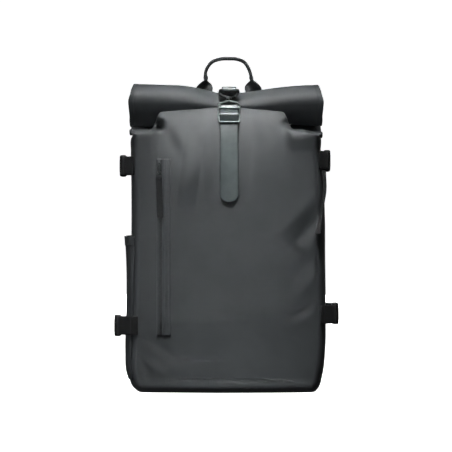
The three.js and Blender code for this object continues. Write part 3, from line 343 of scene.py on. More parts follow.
# %% Finished pieces
def piece(name, points, faces, finish, pattern=None, girth=None, rubbed=None, crease=None):
    """A smooth mesh object in metres, with its faces out and its pattern's coordinates in millimetres"""
    mesh = bpy.data.meshes.new(name)
    mesh.from_pydata((np.asarray(points) * MM).tolist(), [], faces)
    work = bmesh.new()
    work.from_mesh(mesh)
    bmesh.ops.recalc_face_normals(work, faces=work.faces)
    work.to_mesh(mesh)
    work.free()
    if pattern is None:
        pattern = np.asarray(points)[:, [0, 2]]
    lay_pattern(mesh, pattern, girth)
    if rubbed is not None:
        mesh.attributes.new("rubbed", "FLOAT", "POINT").data.foreach_set("value", np.ravel(rubbed))
    mesh.shade_smooth()
    if crease:
        mesh.set_sharp_from_angle(angle=math.radians(crease))
    made = bpy.data.objects.new(name, mesh)
    bpy.context.scene.collection.objects.link(made)
    mesh.materials.append(finish)
    return made


def dress(made, slot, *nodes, body="bag"):
    """Puts a finished piece on its body, in place of the CAD nodes it stands for; its slot is not used"""
    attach(made, body)
    if nodes:
        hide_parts(*nodes)
    made.data.calc_loop_triangles()
    print(made.name, len(made.data.loop_triangles), "triangles")
    return made


def band(name, line, side, width, thick, finish, slot, *nodes):
    """A finished strap in place of its CAD node"""
    points, faces, pattern = strap(line, side, width, thick)
    return dress(piece(name, points, faces, finish, pattern), slot, *nodes)


# %% [markdown]
# ## Finishes
# Each finish is a node tree. A pattern reads better as a sum than as a drawing of boxes, so a small class
# lets sockets be added and multiplied like numbers, and one method adds any other node.


# %% Sums of sockets
class Signal:
    """A number socket of a finish, which can be used in sums and products"""

    def __init__(self, finish, socket):
        self.finish = finish
        self.socket = socket

    def maths(self, operation, *others):
        values = dict(enumerate((self, *others)))
        return self.finish.node("ShaderNodeMath", {"operation": operation}, values)

    def __add__(self, other):
        return self.maths("ADD", other)

    def __mul__(self, other):
        return self.maths("MULTIPLY", other)

    def __rsub__(self, other):
        return self.maths("MULTIPLY", -1.0).maths("ADD", other)

    def __truediv__(self, other):
        return self.maths("DIVIDE", other)

    __radd__ = __add__
    __rmul__ = __mul__

    def between(self, low, high):
        """0 below low, 1 above high, smooth between them"""
        settings = {"interpolation_type": "SMOOTHSTEP"}
        values = {"Value": self, "From Min": low, "From Max": high}
        return self.finish.node("ShaderNodeMapRange", settings, values)


# %% Finishes as objects
class Finish:
    """A material with a Principled shader, and a short way to add nodes to it"""

    def __init__(self, name, **constants):
        self.material = bpy.data.materials.new(name)
        self.material.use_nodes = True
        self.tree = self.material.node_tree
        self.shader = self.tree.nodes["Principled BSDF"]
        for socket, value in constants.items():
            self.shader.inputs[socket.replace("_", " ")].default_value = value

    def node(self, kind, settings=None, values=None, out=0):
        """Adds a node, sets its settings first and then its sockets, and gives one of its outputs"""
        node = self.tree.nodes.new(kind)
        for name, value in (settings or {}).items():
            setattr(node, name, value)
        for name, value in (values or {}).items():
            self.feed(node.inputs[name], value)
        return Signal(self, node.outputs[out])

    def feed(self, socket, value):
        """Links a signal to a socket, or sets the socket to a plain value"""
        if isinstance(value, Signal):
            self.tree.links.new(value.socket, socket)
        else:
            socket.default_value = value

    def set(self, **values):
        for name, value in values.items():
            self.feed(self.shader.inputs[name.replace("_", " ")], value)

    def place(self):
        """Object coordinates, in metres"""
        return self.node("ShaderNodeTexCoord", out=3)

    def pattern(self):
        """The piece's own pattern coordinates, in millimetres: across and along"""
        uv = self.node("ShaderNodeUVMap", {"uv_map": "UVMap"})
        split = self.node("ShaderNodeSeparateXYZ", values={0: uv})
        return split, Signal(self, split.socket.node.outputs[1])

    def noise(self, where, per_metre, detail=2.0, roughness=0.5):
        values = {"Vector": where, "Scale": per_metre, "Detail": detail, "Roughness": roughness}
        return self.node("ShaderNodeTexNoise", values=values)

    def tint(self, share, dark, light):
        """A colour between two, by a share"""
        mix = self.node("ShaderNodeMix", {"data_type": "RGBA"}, {0: share}, out=2)
        mix.socket.node.inputs[6].default_value = (*dark, 1)
        mix.socket.node.inputs[7].default_value = (*light, 1)
        return mix

    def relief(self, height, depth_mm, strength=1.0):
        """Bumps as deep as a height of one says"""
        values = {"Height": height, "Strength": strength, "Distance": depth_mm * MM}
        self.set(Normal=self.node("ShaderNodeBump", values=values))


def wave(signal, length):
    """A smooth wave from 0 to 1 that repeats after a length"""
    return signal.maths("MULTIPLY", 2 * math.pi / length).maths("SINE") * 0.5 + 0.5


print("finishes so far:", len(bpy.data.materials))

# %% [markdown]
# The bag is polyester with a matte rubbery coating. The weave only just shows through it, the coating is
# a little cloudy in colour and gloss, and it pales where seams and folds rub.


# %% Coated cloth
def coated_cloth(name, dark, light, roughness):
    finish = Finish(name, IOR=1.45)
    place = finish.place()
    across, along = finish.pattern()
    clouds = finish.noise(place, 14.0, 3.0, 0.6)
    specks = finish.noise(place, 900.0, 2.0, 0.7)
    rubbed = finish.node("ShaderNodeAttribute", {"attribute_name": "rubbed"}, out=2)
    weave = wave(across, 1.1) * wave(along, 0.9)
    share = (clouds.between(0.3, 0.7) * 0.6 + specks * 0.2 + rubbed * 0.9).maths("MINIMUM", 1.0)
    finish.set(Base_Color=finish.tint(share, dark, light))
    finish.set(Roughness=clouds * 0.1 + rubbed * 0.12 + specks * 0.05 + (roughness - 0.08))
    finish.relief(weave * 0.35 + specks * 0.65, 0.07, 0.6)
    return finish.material


SLATE = coated_cloth("coated cloth", (0.038, 0.043, 0.046), (0.052, 0.058, 0.0615), 0.62)
print(SLATE.name, len(SLATE.node_tree.nodes), "nodes")

# %% [markdown]
# The closure's straps are coated tape with a satin face. Their cut edges are dark, and the distance across
# the strap paints them, so they need no faces or material of their own.


# %% Coated strap, with its cut edges painted dark
def coated_band(name, half_width):
    finish = Finish(name, IOR=1.5, Coat_Roughness=0.35)
    place = finish.place()
    across, along = finish.pattern()
    clouds = finish.noise(place, 30.0, 3.0, 0.6)
    grain = finish.noise(place, 1500.0, 2.0, 0.6)
    edge = across.maths("ABSOLUTE").between(half_width - 1.3, half_width - 0.5)
    face = finish.tint(clouds.between(0.3, 0.7), (0.046, 0.058, 0.061), (0.064, 0.079, 0.082))
    mix = finish.node("ShaderNodeMix", {"data_type": "RGBA"}, {0: edge, 6: face}, out=2)
    mix.socket.node.inputs[7].default_value = (0.006, 0.009, 0.010, 1)
    finish.set(Base_Color=mix, Roughness=clouds * 0.1 + edge * 0.15 + 0.32)
    finish.relief(grain, 0.04, 0.5)
    return finish.material


FRONT_BAND = coated_band("coated front strap", 15.0)
REAR_BAND = coated_band("coated rear strap", 12.0)

# %% [markdown]
# Webbing is woven from thick black yarn. Its ribs run along the strap and dive under each cross thread
# in turn, so the pattern is a wave across it, shifted by half a rib at every second thread.


# %% Webbing
def woven(name, rib, pick, dark, light):
    finish = Finish(name, IOR=1.4, Sheen_Weight=0.04, Sheen_Roughness=0.4)
    across, along = finish.pattern()
    place = finish.place()
    row = (along / pick).maths("FLOOR")
    shift = row.maths("MODULO", 2.0).maths("ABSOLUTE") * (0.5 * rib)
    yarn = wave(across + shift, rib)
    thread = wave(along, pick).maths("POWER", 0.5)
    fuzz = finish.noise(place, 1200.0, 3.0, 0.7)
    height = yarn * 0.6 + thread * 0.3 + fuzz * 0.25
    finish.set(Base_Color=finish.tint(height.between(0.3, 1.0), dark, light))
    finish.set(Roughness=0.9 - yarn * 0.14)
    finish.relief(height, 0.28, 0.8)
    return finish.material


# The handle's webbing is the same black webbing, painted paler: that lightness is painted light falling from
# above on the handle at the top.
HANDLE_WEBBING_PAINTED_LIGHTER = woven("black webbing of the handle, paler as painted light", 2.4, 1.5, (0.016, 0.018, 0.019), (0.06, 0.065, 0.068))
WEBBING = woven("black webbing", 2.4, 1.5, (0.003, 0.0034, 0.0038), (0.014, 0.0155, 0.0165))
BINDING = woven("narrow black webbing", 1.4, 1.0, (0.004, 0.0045, 0.005), (0.026, 0.029, 0.030))
print(WEBBING.name, len(WEBBING.node_tree.nodes), "nodes")

# %% [markdown]
# The pad's cover is knitted in rows of small holes, each row shifted by half a hole. Real holes would take
# millions of faces, so the pattern darkens them and sinks them with a bump.


# %% Knitted air mesh
def air_mesh(name):
    finish = Finish(name, IOR=1.4, Sheen_Weight=0.25, Sheen_Roughness=0.5)
    across, along = finish.pattern()
    place = finish.place()
    row = (along / 2.1).maths("FLOOR")
    shift = row.maths("MODULO", 2.0).maths("ABSOLUTE") * 1.3
    hole = wave(across + shift, 2.6) * wave(along + 1.05, 2.1)
    yarn = 1 - hole.between(0.45, 0.8)
    fuzz = finish.noise(place, 1400.0, 3.0, 0.7)
    share = yarn * 0.8 + fuzz * 0.2
    finish.set(Base_Color=finish.tint(share, (0.006, 0.007, 0.008), (0.034, 0.037, 0.039)))
    finish.set(Roughness=fuzz * 0.1 + 0.82)
    finish.relief(yarn + fuzz * 0.3, 0.5, 0.8)
    return finish.material


AIR_MESH = air_mesh("knitted air mesh")
print(AIR_MESH.name, len(AIR_MESH.node_tree.nodes), "nodes")

# %% [markdown]
# The wire parts are steel under a thin bright coating, the hook is blackened, and the buckles are moulded
# from matte plastic. A little change in colour and gloss over each keeps them from looking too clean.


# %% Metal and plastic
def painted_wire(name, dark, light, roughness):
    finish = Finish(name, Metallic=0.85, IOR=1.5)
    place = finish.place()
    blotches = finish.noise(place, 160.0, 3.0, 0.6)
    brushed = finish.noise(place, 2600.0, 2.0, 0.6)
    share = blotches.between(0.25, 0.75) * 0.8 + brushed * 0.2
    finish.set(Base_Color=finish.tint(share, dark, light))
    finish.set(Roughness=blotches * 0.16 + brushed * 0.06 + roughness)
    finish.relief(brushed, 0.02, 0.5)
    return finish.material


def moulded(name):
    finish = Finish(name, IOR=1.4)
    place = finish.place()
    spark = finish.noise(place, 2200.0, 2.0, 0.7)
    rubs = finish.noise(place, 90.0, 3.0, 0.6)
    worn = rubs.between(0.3, 0.7)
    finish.set(Base_Color=finish.tint(worn, (0.003, 0.0033, 0.0036), (0.008, 0.0086, 0.0092)))
    finish.set(Roughness=rubs * 0.14 + spark * 0.1 + 0.46)
    finish.relief(spark, 0.05, 0.6)
    return finish.material


GUNMETAL = painted_wire("bright coated wire", (0.10, 0.122, 0.12), (0.20, 0.235, 0.23), 0.3)
HOOK_METAL = painted_wire("black oxide", (0.018, 0.022, 0.022), (0.05, 0.056, 0.056), 0.34)
PLASTIC = moulded("moulded black plastic")
print(PLASTIC.name, len(PLASTIC.node_tree.nodes), "nodes")

# %% [markdown]
# Sewing thread and the zip's coil are too thin for a woven pattern, so a fine noise is enough for them.


# %% Thread and coil
def spun(name, dark, light):
    finish = Finish(name, IOR=1.45, Sheen_Weight=0.2)
    fibre = finish.noise(finish.place(), 1800.0, 3.0, 0.7)
    finish.set(Base_Color=finish.tint(fibre.between(0.3, 0.7), dark, light), Roughness=fibre * 0.2 + 0.6)
    finish.relief(fibre, 0.1, 0.6)
    return finish.material


COIL = spun("zip coil", (0.014, 0.016, 0.018), (0.024, 0.027, 0.029))
THREAD = spun("sewing thread", (0.02, 0.023, 0.025), (0.05, 0.055, 0.058))
print("finishes:", len(bpy.data.materials))

# %% [markdown]
# ## The bag's body
# The body is one hollow of coated cloth. Its rows go up the front from the base to the fold ahead of the
# roll, then down behind that fold to the neck. The CAD shell comes from a table of the same kind. Here the
# rows are joined by smooth curves, the shoulders sag, and the folds are worked in afterwards. Sculpting
# would be freer, but a table can be checked against the picture and changed again.

# %% Sizes shared with the CAD model
BODY_WIDTH, BODY_DEPTH, BODY_HEIGHT = 325.0, 150.0, 434.0
FRONT_Y, BACK_Y = -0.533 * BODY_DEPTH, 0.467 * BODY_DEPTH
NECK_Y, NECK_THICK = 36.6, 5.6
ROLL_DEPTH, ROLL_RISE = 50.0, 64.0
CREST_Y = NECK_Y - 1.43 * ROLL_DEPTH
SEAM_GAP = 0.3
CLOTH_WALL = 2.0

# Height, front, back, left and right, as shares of the body's height, depth each way and half width
LOWER_ROWS = [
    [0.0, 0.85, 0.88, 0.89, 0.905],
    [0.014, 0.925, 0.965, 0.935, 0.935],
    [0.06, 0.95, 0.995, 0.978, 0.97],
    [0.15, 0.97, 1.0, 0.985, 0.998],
    [0.3, 1.0, 1.0, 0.968, 1.003],
    [0.48, 1.0, 1.0, 0.955, 0.998],
    [0.66, 0.985, 1.0, 0.95, 0.994],
    [0.8, 0.945, 1.0, 0.952, 0.978],
    [0.9, 0.865, 1.0, 0.956, 0.952],
]
# From the neck, as shares of the roll's rise: front height and place (0 front, 1 fold, 2 neck), the same at
# the shoulders, the back's height and place, and how far the sides tuck in
UPPER_ROWS = [
    [-0.183, 0.44, -0.29, 0.13, -0.373, 0.05, 0.02],
    [0.19, 0.69, -0.16, 0.42, -0.203, 0.2, 0.12],
    [0.42, 1.0, -0.135, 0.86, -0.129, 0.42, 0.2],
    [0.326, 1.115, -0.17, 1.22, -0.102, 0.62, 0.2],
    [0.027, 1.225, -0.231, 1.41, -0.088, 0.75, 0.16],
    [-0.203, 1.39, -0.237, 1.55, -0.081, 0.83, 0.1],
    [-0.251, 1.77, -0.19, 1.77, -0.068, 0.905, 0.04],
    [0.0, 2.0, 0.0, 2.0, 0.0, 1.0, 0.0],
]
TOP_WIDTH = 0.955
CORNERS_AHEAD = 5.5  # how far the front's upper corners stand ahead of its middle
FOLD_SPREAD = 4.5  # how much wider each half is where the cloth folds over


def along_top(share):
    """Y at a place along the top: 0 is the front, 1 the fold and 2 the neck"""
    neck_front = NECK_Y - NECK_THICK / 2
    if share <= 1:
        return FRONT_Y + (CREST_Y - FRONT_Y) * share
    return CREST_Y + (neck_front - CREST_Y) * (share - 1)


def body_table():
    """Each row's front, shoulder and back as Y and Z, its left and right half widths, and its tuck"""
    rows = []
    for height, front, rear, left, right in LOWER_ROWS:
        z, half = height * BODY_HEIGHT, BODY_WIDTH / 2
        ahead = CORNERS_AHEAD * float(ease(0.75, 0.9, height))
        row = [front * FRONT_Y, z, front * FRONT_Y - ahead, z, rear * BACK_Y, z]
        rows.append([*row, left * half, right * half, 0])
    neck_back = NECK_Y + NECK_THICK / 2
    for front_z, front_at, shoulder_z, shoulder_at, back_z, back_at, tuck in UPPER_ROWS:
        heights = [BODY_HEIGHT + share * ROLL_RISE for share in (front_z, shoulder_z, back_z)]
        back_y = BACK_Y + (neck_back - BACK_Y) * back_at
        half = TOP_WIDTH * BODY_WIDTH / 2 + FOLD_SPREAD * min(1, 20 * tuck)
        row = [along_top(front_at), heights[0], along_top(shoulder_at), heights[1], back_y, heights[2]]
        rows.append([*row, half, half, tuck * BODY_WIDTH / 2])
    return np.array(rows)


BODY_TABLE = body_table()
ROW_KNOTS = lengths_along(BODY_TABLE[:, 0:2]) * 0.5 + lengths_along(BODY_TABLE[:, 2:4]) * 0.5
TOP_ROW = len(LOWER_ROWS) - 1
print("rows:", len(BODY_TABLE), "and the way up and over them:", round(ROW_KNOTS[-1]), "mm")

# %% [markdown]
# Each row becomes a ring round the bag. The front bulges between its seams and carries a hump under the
# roll, which fades out sooner on the right. Averaging each point with its neighbours rounds the seams.


# %% Rings of the body
# Where the hump begins to fade and where it is gone, as shares of the left and the right half width
HUMP_ENDS = {-1: (0.66, 0.745), 1: (0.575, 0.665)}
HUMP_DROOP, CREST_DIP = 0.2, 0.05
SHOULDER_SAG = {-1: 1.0, 1: 5.5}
CROWN = 0.1  # how far the front bulges, as a share of the depth
SEAM_INSET = 0.085
FRONT_COLUMNS, SIDE_COLUMNS, BACK_COLUMNS = 84, 34, 26
HALF_COLUMNS = FRONT_COLUMNS + SIDE_COLUMNS - 2 + BACK_COLUMNS
RING_SIZE = 2 * HALF_COLUMNS - 2


def half_rings(rows, side):
    """One half of every ring, from the middle of the front round to the middle of the back"""
    front_y, front_z, shoulder_y, shoulder_z, back_y, back_z, left, right, tuck = rows.T[:, :, None]
    half = right if side > 0 else left
    fade, gone = HUMP_ENDS[side]
    depth = back_y - shoulder_y
    inset = SEAM_INSET * depth * (1 - 0.8 * ease(0, 12, tuck))
    seam_x = half - inset
    share = np.linspace(0, 1, FRONT_COLUMNS)[None, :]
    out = share * seam_x * 2 / BODY_WIDTH
    level = 1 - HUMP_DROOP * (out / gone) ** 2 - CREST_DIP * ease(0.15, 0.3, out)
    hump = level * (1 - ease(fade, gone, out))
    y = shoulder_y + (front_y - shoulder_y) * hump + CROWN * depth * share**2
    sag = SHOULDER_SAG[side] * ease(0.74, 0.93, out) * ease(2, 14, tuck)
    z = shoulder_z + (front_z - shoulder_z) * hump - sag
    front = np.stack([side * share * seam_x, y, z], axis=-1)
    t = np.linspace(0, 1, SIDE_COLUMNS)[None, 1:-1]
    bow = np.sin(np.pi * t) ** 0.6
    corner_y = back_y - 0.04 * depth
    side_x = half - inset * (1 - bow) - tuck * bow
    side_y = y[:, -1:] + (corner_y - y[:, -1:]) * t
    side_z = z[:, -1:] + (back_z - z[:, -1:]) * t
    flank = np.stack([side * side_x, side_y, side_z], axis=-1)
    w = np.linspace(1, 0, BACK_COLUMNS)[None, :]
    lift = np.minimum(1, (1 - w) / 0.07)
    rear_y = corner_y + (back_y - corner_y) * lift * (2 - lift)
    rear_x = side * w * (half - 0.05 * depth)
    rear = np.stack(np.broadcast_arrays(rear_x, rear_y, back_z), axis=-1)
    return np.concatenate([front, flank, rear], axis=1)


def body_rings(places):
    """Closed rings at places up the table, rounded at the seams"""
    rows = smooth_at(ROW_KNOTS, BODY_TABLE, places)
    right, left = half_rings(rows, 1), half_rings(rows, -1)
    rings = np.concatenate([right, left[:, 1:-1][:, ::-1]], axis=1)
    for _ in range(3):
        rings = rings * 0.5 + (np.roll(rings, 1, axis=1) + np.roll(rings, -1, axis=1)) * 0.25
    return rings


def grid_normals(grid, closed=True):
    """Normals of a grid of points, pointing away from the inside of its rings"""
    if closed:
        round_ = np.roll(grid, -1, axis=1) - np.roll(grid, 1, axis=1)
    else:
        round_ = np.gradient(grid, axis=1)
    return unit(np.cross(round_, np.gradient(grid, axis=0)))


upright = np.linspace(0, ROW_KNOTS[TOP_ROW], 96)
over_top = np.linspace(ROW_KNOTS[TOP_ROW], ROW_KNOTS[-1], 108)[1:]
body_places = np.concatenate([upright, over_top])
body_grid = body_rings(body_places)
print("body grid", body_grid.shape[:2], "height", round(float(body_grid[..., 2].max()), 1))

# %% [markdown]
# A fold is a low ridge or valley along a line. Each one here is a line on the front panel with a width and
# a height, and it fades out at both ends. The panel is soft where it isn't stuffed, so the folds gather at
# its right edge, its lower left corner and the two ends of the hump under the roll.

# %% Folds of the front panel
# From x, z to x, z, half width, height
FOLDS = [
    (146, 322, 92, 262, 11, 2.4),
    (150, 292, 108, 236, 9, -2.6),
    (152, 262, 118, 206, 10, 2.2),
    (128, 232, 104, 172, 11, -2.0),
    (150, 200, 116, 150, 12, 1.6),
    (140, 128, 104, 104, 11, 1.2),
    (-146, 78, -124, 22, 8, -1.8),
    (-140, 60, -104, 34, 7, 1.6),
    (-128, 92, -84, 56, 9, -1.3),
    (-101, 441, -99, 427, 5, 2.6),
    (-72, 356, -42, 352, 44, 7.0),
    (38, 368, 60, 366, 34, 2.0),
    (-152, 424, -118, 419, 6, 1.6),
    (-96, 428, -78, 386, 10, -2.0),
    (-84, 426, -66, 392, 10, 1.6),
    (-60, 440, -44, 398, 12, -1.0),
    (-18, 448, -46, 398, 9, 1.0),
    (30, 448, 58, 392, 10, 1.4),
    (46, 452, 84, 402, 11, -1.5),
    (92, 426, 66, 380, 12, 1.4),
    (100, 420, 112, 366, 11, -1.6),
    (97, 446, 97, 430, 5, 2.4),
    (118, 426, 152, 424, 6, 1.4),
    (-110, 424, -116, 372, 10, 1.2),
]
# Hollows under the two ends of the hump: x, z, half width, half height, depth
HOLLOWS = [
    (-112, 433, 11, 8, 32),
    (-107, 427, 7, 5, 16),
    (112, 435, 16, 7, 26),
]
STRAP_CLEAR = (24.0, 40.0)  # the cloth lies flat under the front strap and grows folds beside it
CLOSURE_X = 5.0


def ridges(x, z, folds, at_ends):
    """How far folds push the cloth out at each place; at_ends is their height there, as a share"""
    total = np.zeros_like(x)
    for x0, z0, x1, z1, width, height in folds:
        run = np.array([x1 - x0, z1 - z0])
        length = np.linalg.norm(run)
        along = ((x - x0) * run[0] + (z - z0) * run[1]) / length**2
        off = ((x - x0) * run[1] - (z - z0) * run[0]) / length
        ends = np.exp(-np.clip(np.abs(along - 0.5) - 0.5, 0, None) ** 2 * (length / width) ** 2)
        middle = at_ends + (1 - at_ends) * np.sin(np.pi * np.clip(along, 0, 1))
        total += height * np.exp(-((off / width) ** 2)) * ends * middle
    return total


def fold_front(grid):
    """Works the folds into the part of the body that faces forward"""
    normals = grid_normals(grid)
    x, z = grid[..., 0], grid[..., 2]
    facing = ease(0.1, 0.6, -normals[..., 1]) * ease(4, 24, z)
    beside_strap = ease(*STRAP_CLEAR, np.abs(x - CLOSURE_X))
    grid = grid + normals * (ridges(x, z, FOLDS, at_ends=0.45) * beside_strap * facing)[..., None]
    ahead = ease(-10, -30, grid[..., 1])
    for middle_x, middle_z, half_x, half_z, depth in HOLLOWS:
        off = ((x - middle_x) / half_x) ** 2 + ((z - middle_z) / half_z) ** 2
        grid[..., 1] += depth * np.exp(-(off**1.4)) * ahead
    return grid


body_grid = fold_front(body_grid)
print("folds:", len(FOLDS), "and hollows:", len(HOLLOWS))

# %% [markdown]
# The shell is closed at the base, open at the neck, and has an inner wall with fewer rows, because that
# wall only shows its rim. A Solidify modifier would double every row. Sharp ridges are found by comparing
# the grid with a smoothed copy, and the finish pales them as wear does.


# %% Body shell
def grid_pattern(grid, closed=True):
    """Pattern coordinates of a grid: its columns' mean distance round, and its rows' mean distance along"""
    full = np.concatenate([grid, grid[:, :1]], axis=1) if closed else grid
    across = np.concatenate([[0], np.cumsum(np.linalg.norm(np.diff(full, axis=1), axis=2).mean(axis=0))])
    along = np.concatenate([[0], np.cumsum(np.linalg.norm(np.diff(grid, axis=0), axis=2).mean(axis=1))])
    plain = np.stack(np.meshgrid(across[: grid.shape[1]], along), axis=-1)
    return plain.reshape(-1, 2), across[-1]


def rubbed_places(grid, closed=True):
    """1 where the cloth stands out in a sharp ridge, 0 where it is flat or hollow"""
    normals = grid_normals(grid, closed)
    soft = grid.copy()
    for _ in range(6):
        if closed:
            around = (np.roll(soft, 1, axis=1) + np.roll(soft, -1, axis=1)) / 2
        else:
            around = soft.copy()
            around[:, 1:-1] = (soft[:, :-2] + soft[:, 2:]) / 2
        updown = soft.copy()
        updown[1:-1] = (soft[:-2] + soft[2:]) / 2
        soft = (around + updown) / 2
    return ease(0.15, 1.1, ((grid - soft) * normals).sum(axis=-1))


def body_shell():
    rows, size = body_grid.shape[:2]
    inner = (body_grid - grid_normals(body_grid) * CLOTH_WALL)[::8]
    inner[0, :, 2] = CLOTH_WALL
    rim = body_grid[-1] * [0.985, 1, 1]
    rim[:, 1] = NECK_Y + (rim[:, 1] - NECK_Y) * 0.35
    inner[-1] = rim
    middle = np.array([0.0, body_grid[0, :, 1].mean(), 0.0])
    base = np.array([middle + (body_grid[0] - middle) * share for share in np.linspace(0.94, 0.06, 10)])
    blocks = [body_grid, inner, base]
    starts = np.cumsum([0] + [block.shape[0] * size for block in blocks])
    points = np.concatenate([block.reshape(-1, 3) for block in blocks] + [[middle]])
    faces = grid_quads(rows, size, 0, closed=True)
    faces += [f[::-1] for f in grid_quads(len(inner), size, starts[1], closed=True)]
    faces += [f[::-1] for f in grid_quads(len(base), size, starts[2], closed=True)]
    for j in range(size):
        k = (j + 1) % size
        top, rim_in = starts[1] - size, starts[2] - size
        faces.append([top + j, top + k, rim_in + k, rim_in + j])
        faces.append([j, starts[2] + j, starts[2] + k, k])
    faces += [f[::-1] for f in fan([starts[3] - size + j for j in range(size)], len(points) - 1)]
    faces.append([starts[1] + j for j in range(size)])
    pattern, girth = grid_pattern(body_grid)
    pattern = np.concatenate([pattern, points[len(pattern) :, :2]])
    rubbed = np.concatenate([rubbed_places(body_grid).ravel(), np.zeros(len(points) - rows * size)])
    return piece("body_cloth", points, faces, SLATE, pattern, girth, rubbed)


body_cloth = dress(body_shell(), "cloth", "body_shell")

# %% [markdown]
# ## The rolled collar
# The collar is one long flat tube of cloth that is folded forward over itself, so its section is a spiral.
# The hook's pull pinches the roll in the middle, which turns each half into a cone. The table gives the
# section at the free ends and in the pinched middle, and every place between is a mix of the two.

# %% Sections of the collar
COLLAR_THICK = 4.4
COLLAR_HALF = BODY_WIDTH / 2 - 3.5
# Forward and up from the neck at the ends and at the pinched middle, as shares of the roll's depth and rise,
# and the half width as a share of the collar's
COLLAR_ROWS = np.array([
    [0.0, 0.0, 0.0, 0.0, 0.975],
    [-0.02, 0.2, -0.04, 0.19, 0.96],
    [-0.03, 0.45, -0.06, 0.4, 0.95],
    [0.01, 0.71, -0.05, 0.6, 0.945],
    [0.11, 0.87, 0.01, 0.72, 0.94],
    [0.29, 0.985, 0.13, 0.775, 0.945],
    [0.55, 0.975, 0.33, 0.745, 0.952],
    [0.79, 0.87, 0.56, 0.655, 0.97],
    [0.95, 0.73, 0.74, 0.56, 0.985],
    [0.985, 0.61, 0.81, 0.46, 1.0],
    [0.93, 0.44, 0.78, 0.36, 0.998],
    [0.8, 0.22, 0.72, 0.26, 0.99],
    [0.665, 0.045, 0.65, 0.21, 0.99],
    [0.56, -0.045, 0.57, 0.2, 0.98],
    [0.49, -0.03, 0.48, 0.24, 0.96],
    [0.44, 0.07, 0.38, 0.29, 0.955],
    [0.43, 0.22, 0.3, 0.33, 0.95],
    [0.42, 0.45, 0.22, 0.37, 0.945],
    [0.41, 0.66, 0.16, 0.42, 0.94],
    [0.35, 0.79, 0.12, 0.48, 0.94],
    [0.25, 0.81, 0.13, 0.545, 0.94],
    [0.17, 0.72, 0.19, 0.585, 0.94],
    [0.14, 0.55, 0.3, 0.56, 0.94],
    [0.14, 0.36, 0.4, 0.5, 0.94],
])
PINCH_HALF, PINCH_REACH_LEFT, PINCH_REACH_RIGHT = 15.0, 42.0, 68.0
COLLAR_KNOTS = lengths_along(COLLAR_ROWS[:, :2] * [ROLL_DEPTH, ROLL_RISE])


def collar_sheet(places, shares):
    """The middle of the collar's cloth at places along its section and at shares of its half width"""
    end_y, end_z, mid_y, mid_z, width = smooth_at(COLLAR_KNOTS, COLLAR_ROWS, places).T[:, :, None]
    x = shares[None, :] * width * COLLAR_HALF
    reach = np.where(x > CLOSURE_X, PINCH_REACH_RIGHT, PINCH_REACH_LEFT)
    away = np.maximum(0, np.abs(x - CLOSURE_X) - PINCH_HALF) / reach
    pinch = np.maximum(np.exp(-(away**1.5)), 0.14 * (1 - ease(1.2, 3.4, away)))
    y = NECK_Y - (end_y + (mid_y - end_y) * pinch) * ROLL_DEPTH
    z = BODY_HEIGHT + 2 * SEAM_GAP + (end_z + (mid_z - end_z) * pinch) * ROLL_RISE
    return np.stack([x + 0 * y, y, z], axis=-1)


print("cloth rolled up in the section:", round(COLLAR_KNOTS[-1]), "mm")

# %% [markdown]
# The tube's two open ends are hemmed, which makes their rims thicker and paler. The two skins are the
# sheet pushed out both ways, and a lip of points joins them round each hem. The columns stand closer there.


# %% Collar with hemmed ends
HEM_WIDTH, HEM_LIFT, HEM_RUB = 8.0, 0.45, 0.7
# Past the hem's edge and off the sheet's middle: round one cloth, into the slot and round the other
LIP_REACH = 0.8
LIP = [(0.5, 1.95), (0.8, 1.4), (0.5, 0.8), (-2.5, 0.6), (-2.5, -0.6), (0.5, -0.8), (0.8, -1.4), (0.5, -1.95)]
# Soft dents that the pull of the hook sends out along the roll, from x, z to x, z, half width, height
ROLL_FOLDS = [
    (-58, 492, -13, 471, 3.6, -2.0),
    (-56, 483, -20, 466, 5.0, 1.2),
    (74, 487, 21, 470, 3.6, -2.0),
    (66, 479, 28, 466, 5.0, 1.2),
    (64, 474, 80, 464, 5.0, -2.0),
    (-110, 470, -70, 458, 7.0, -0.6),
    (100, 470, 140, 464, 8.0, -0.6),
]
collar_places = np.linspace(0, COLLAR_KNOTS[-1], 118)
end_shares = np.linspace(0.93, 1, 14)
inner_shares = np.linspace(-0.93, 0.93, 150)
collar_shares = np.concatenate([-end_shares[::-1], inner_shares[1:-1], end_shares])
collar_grid = collar_sheet(collar_places, collar_shares)


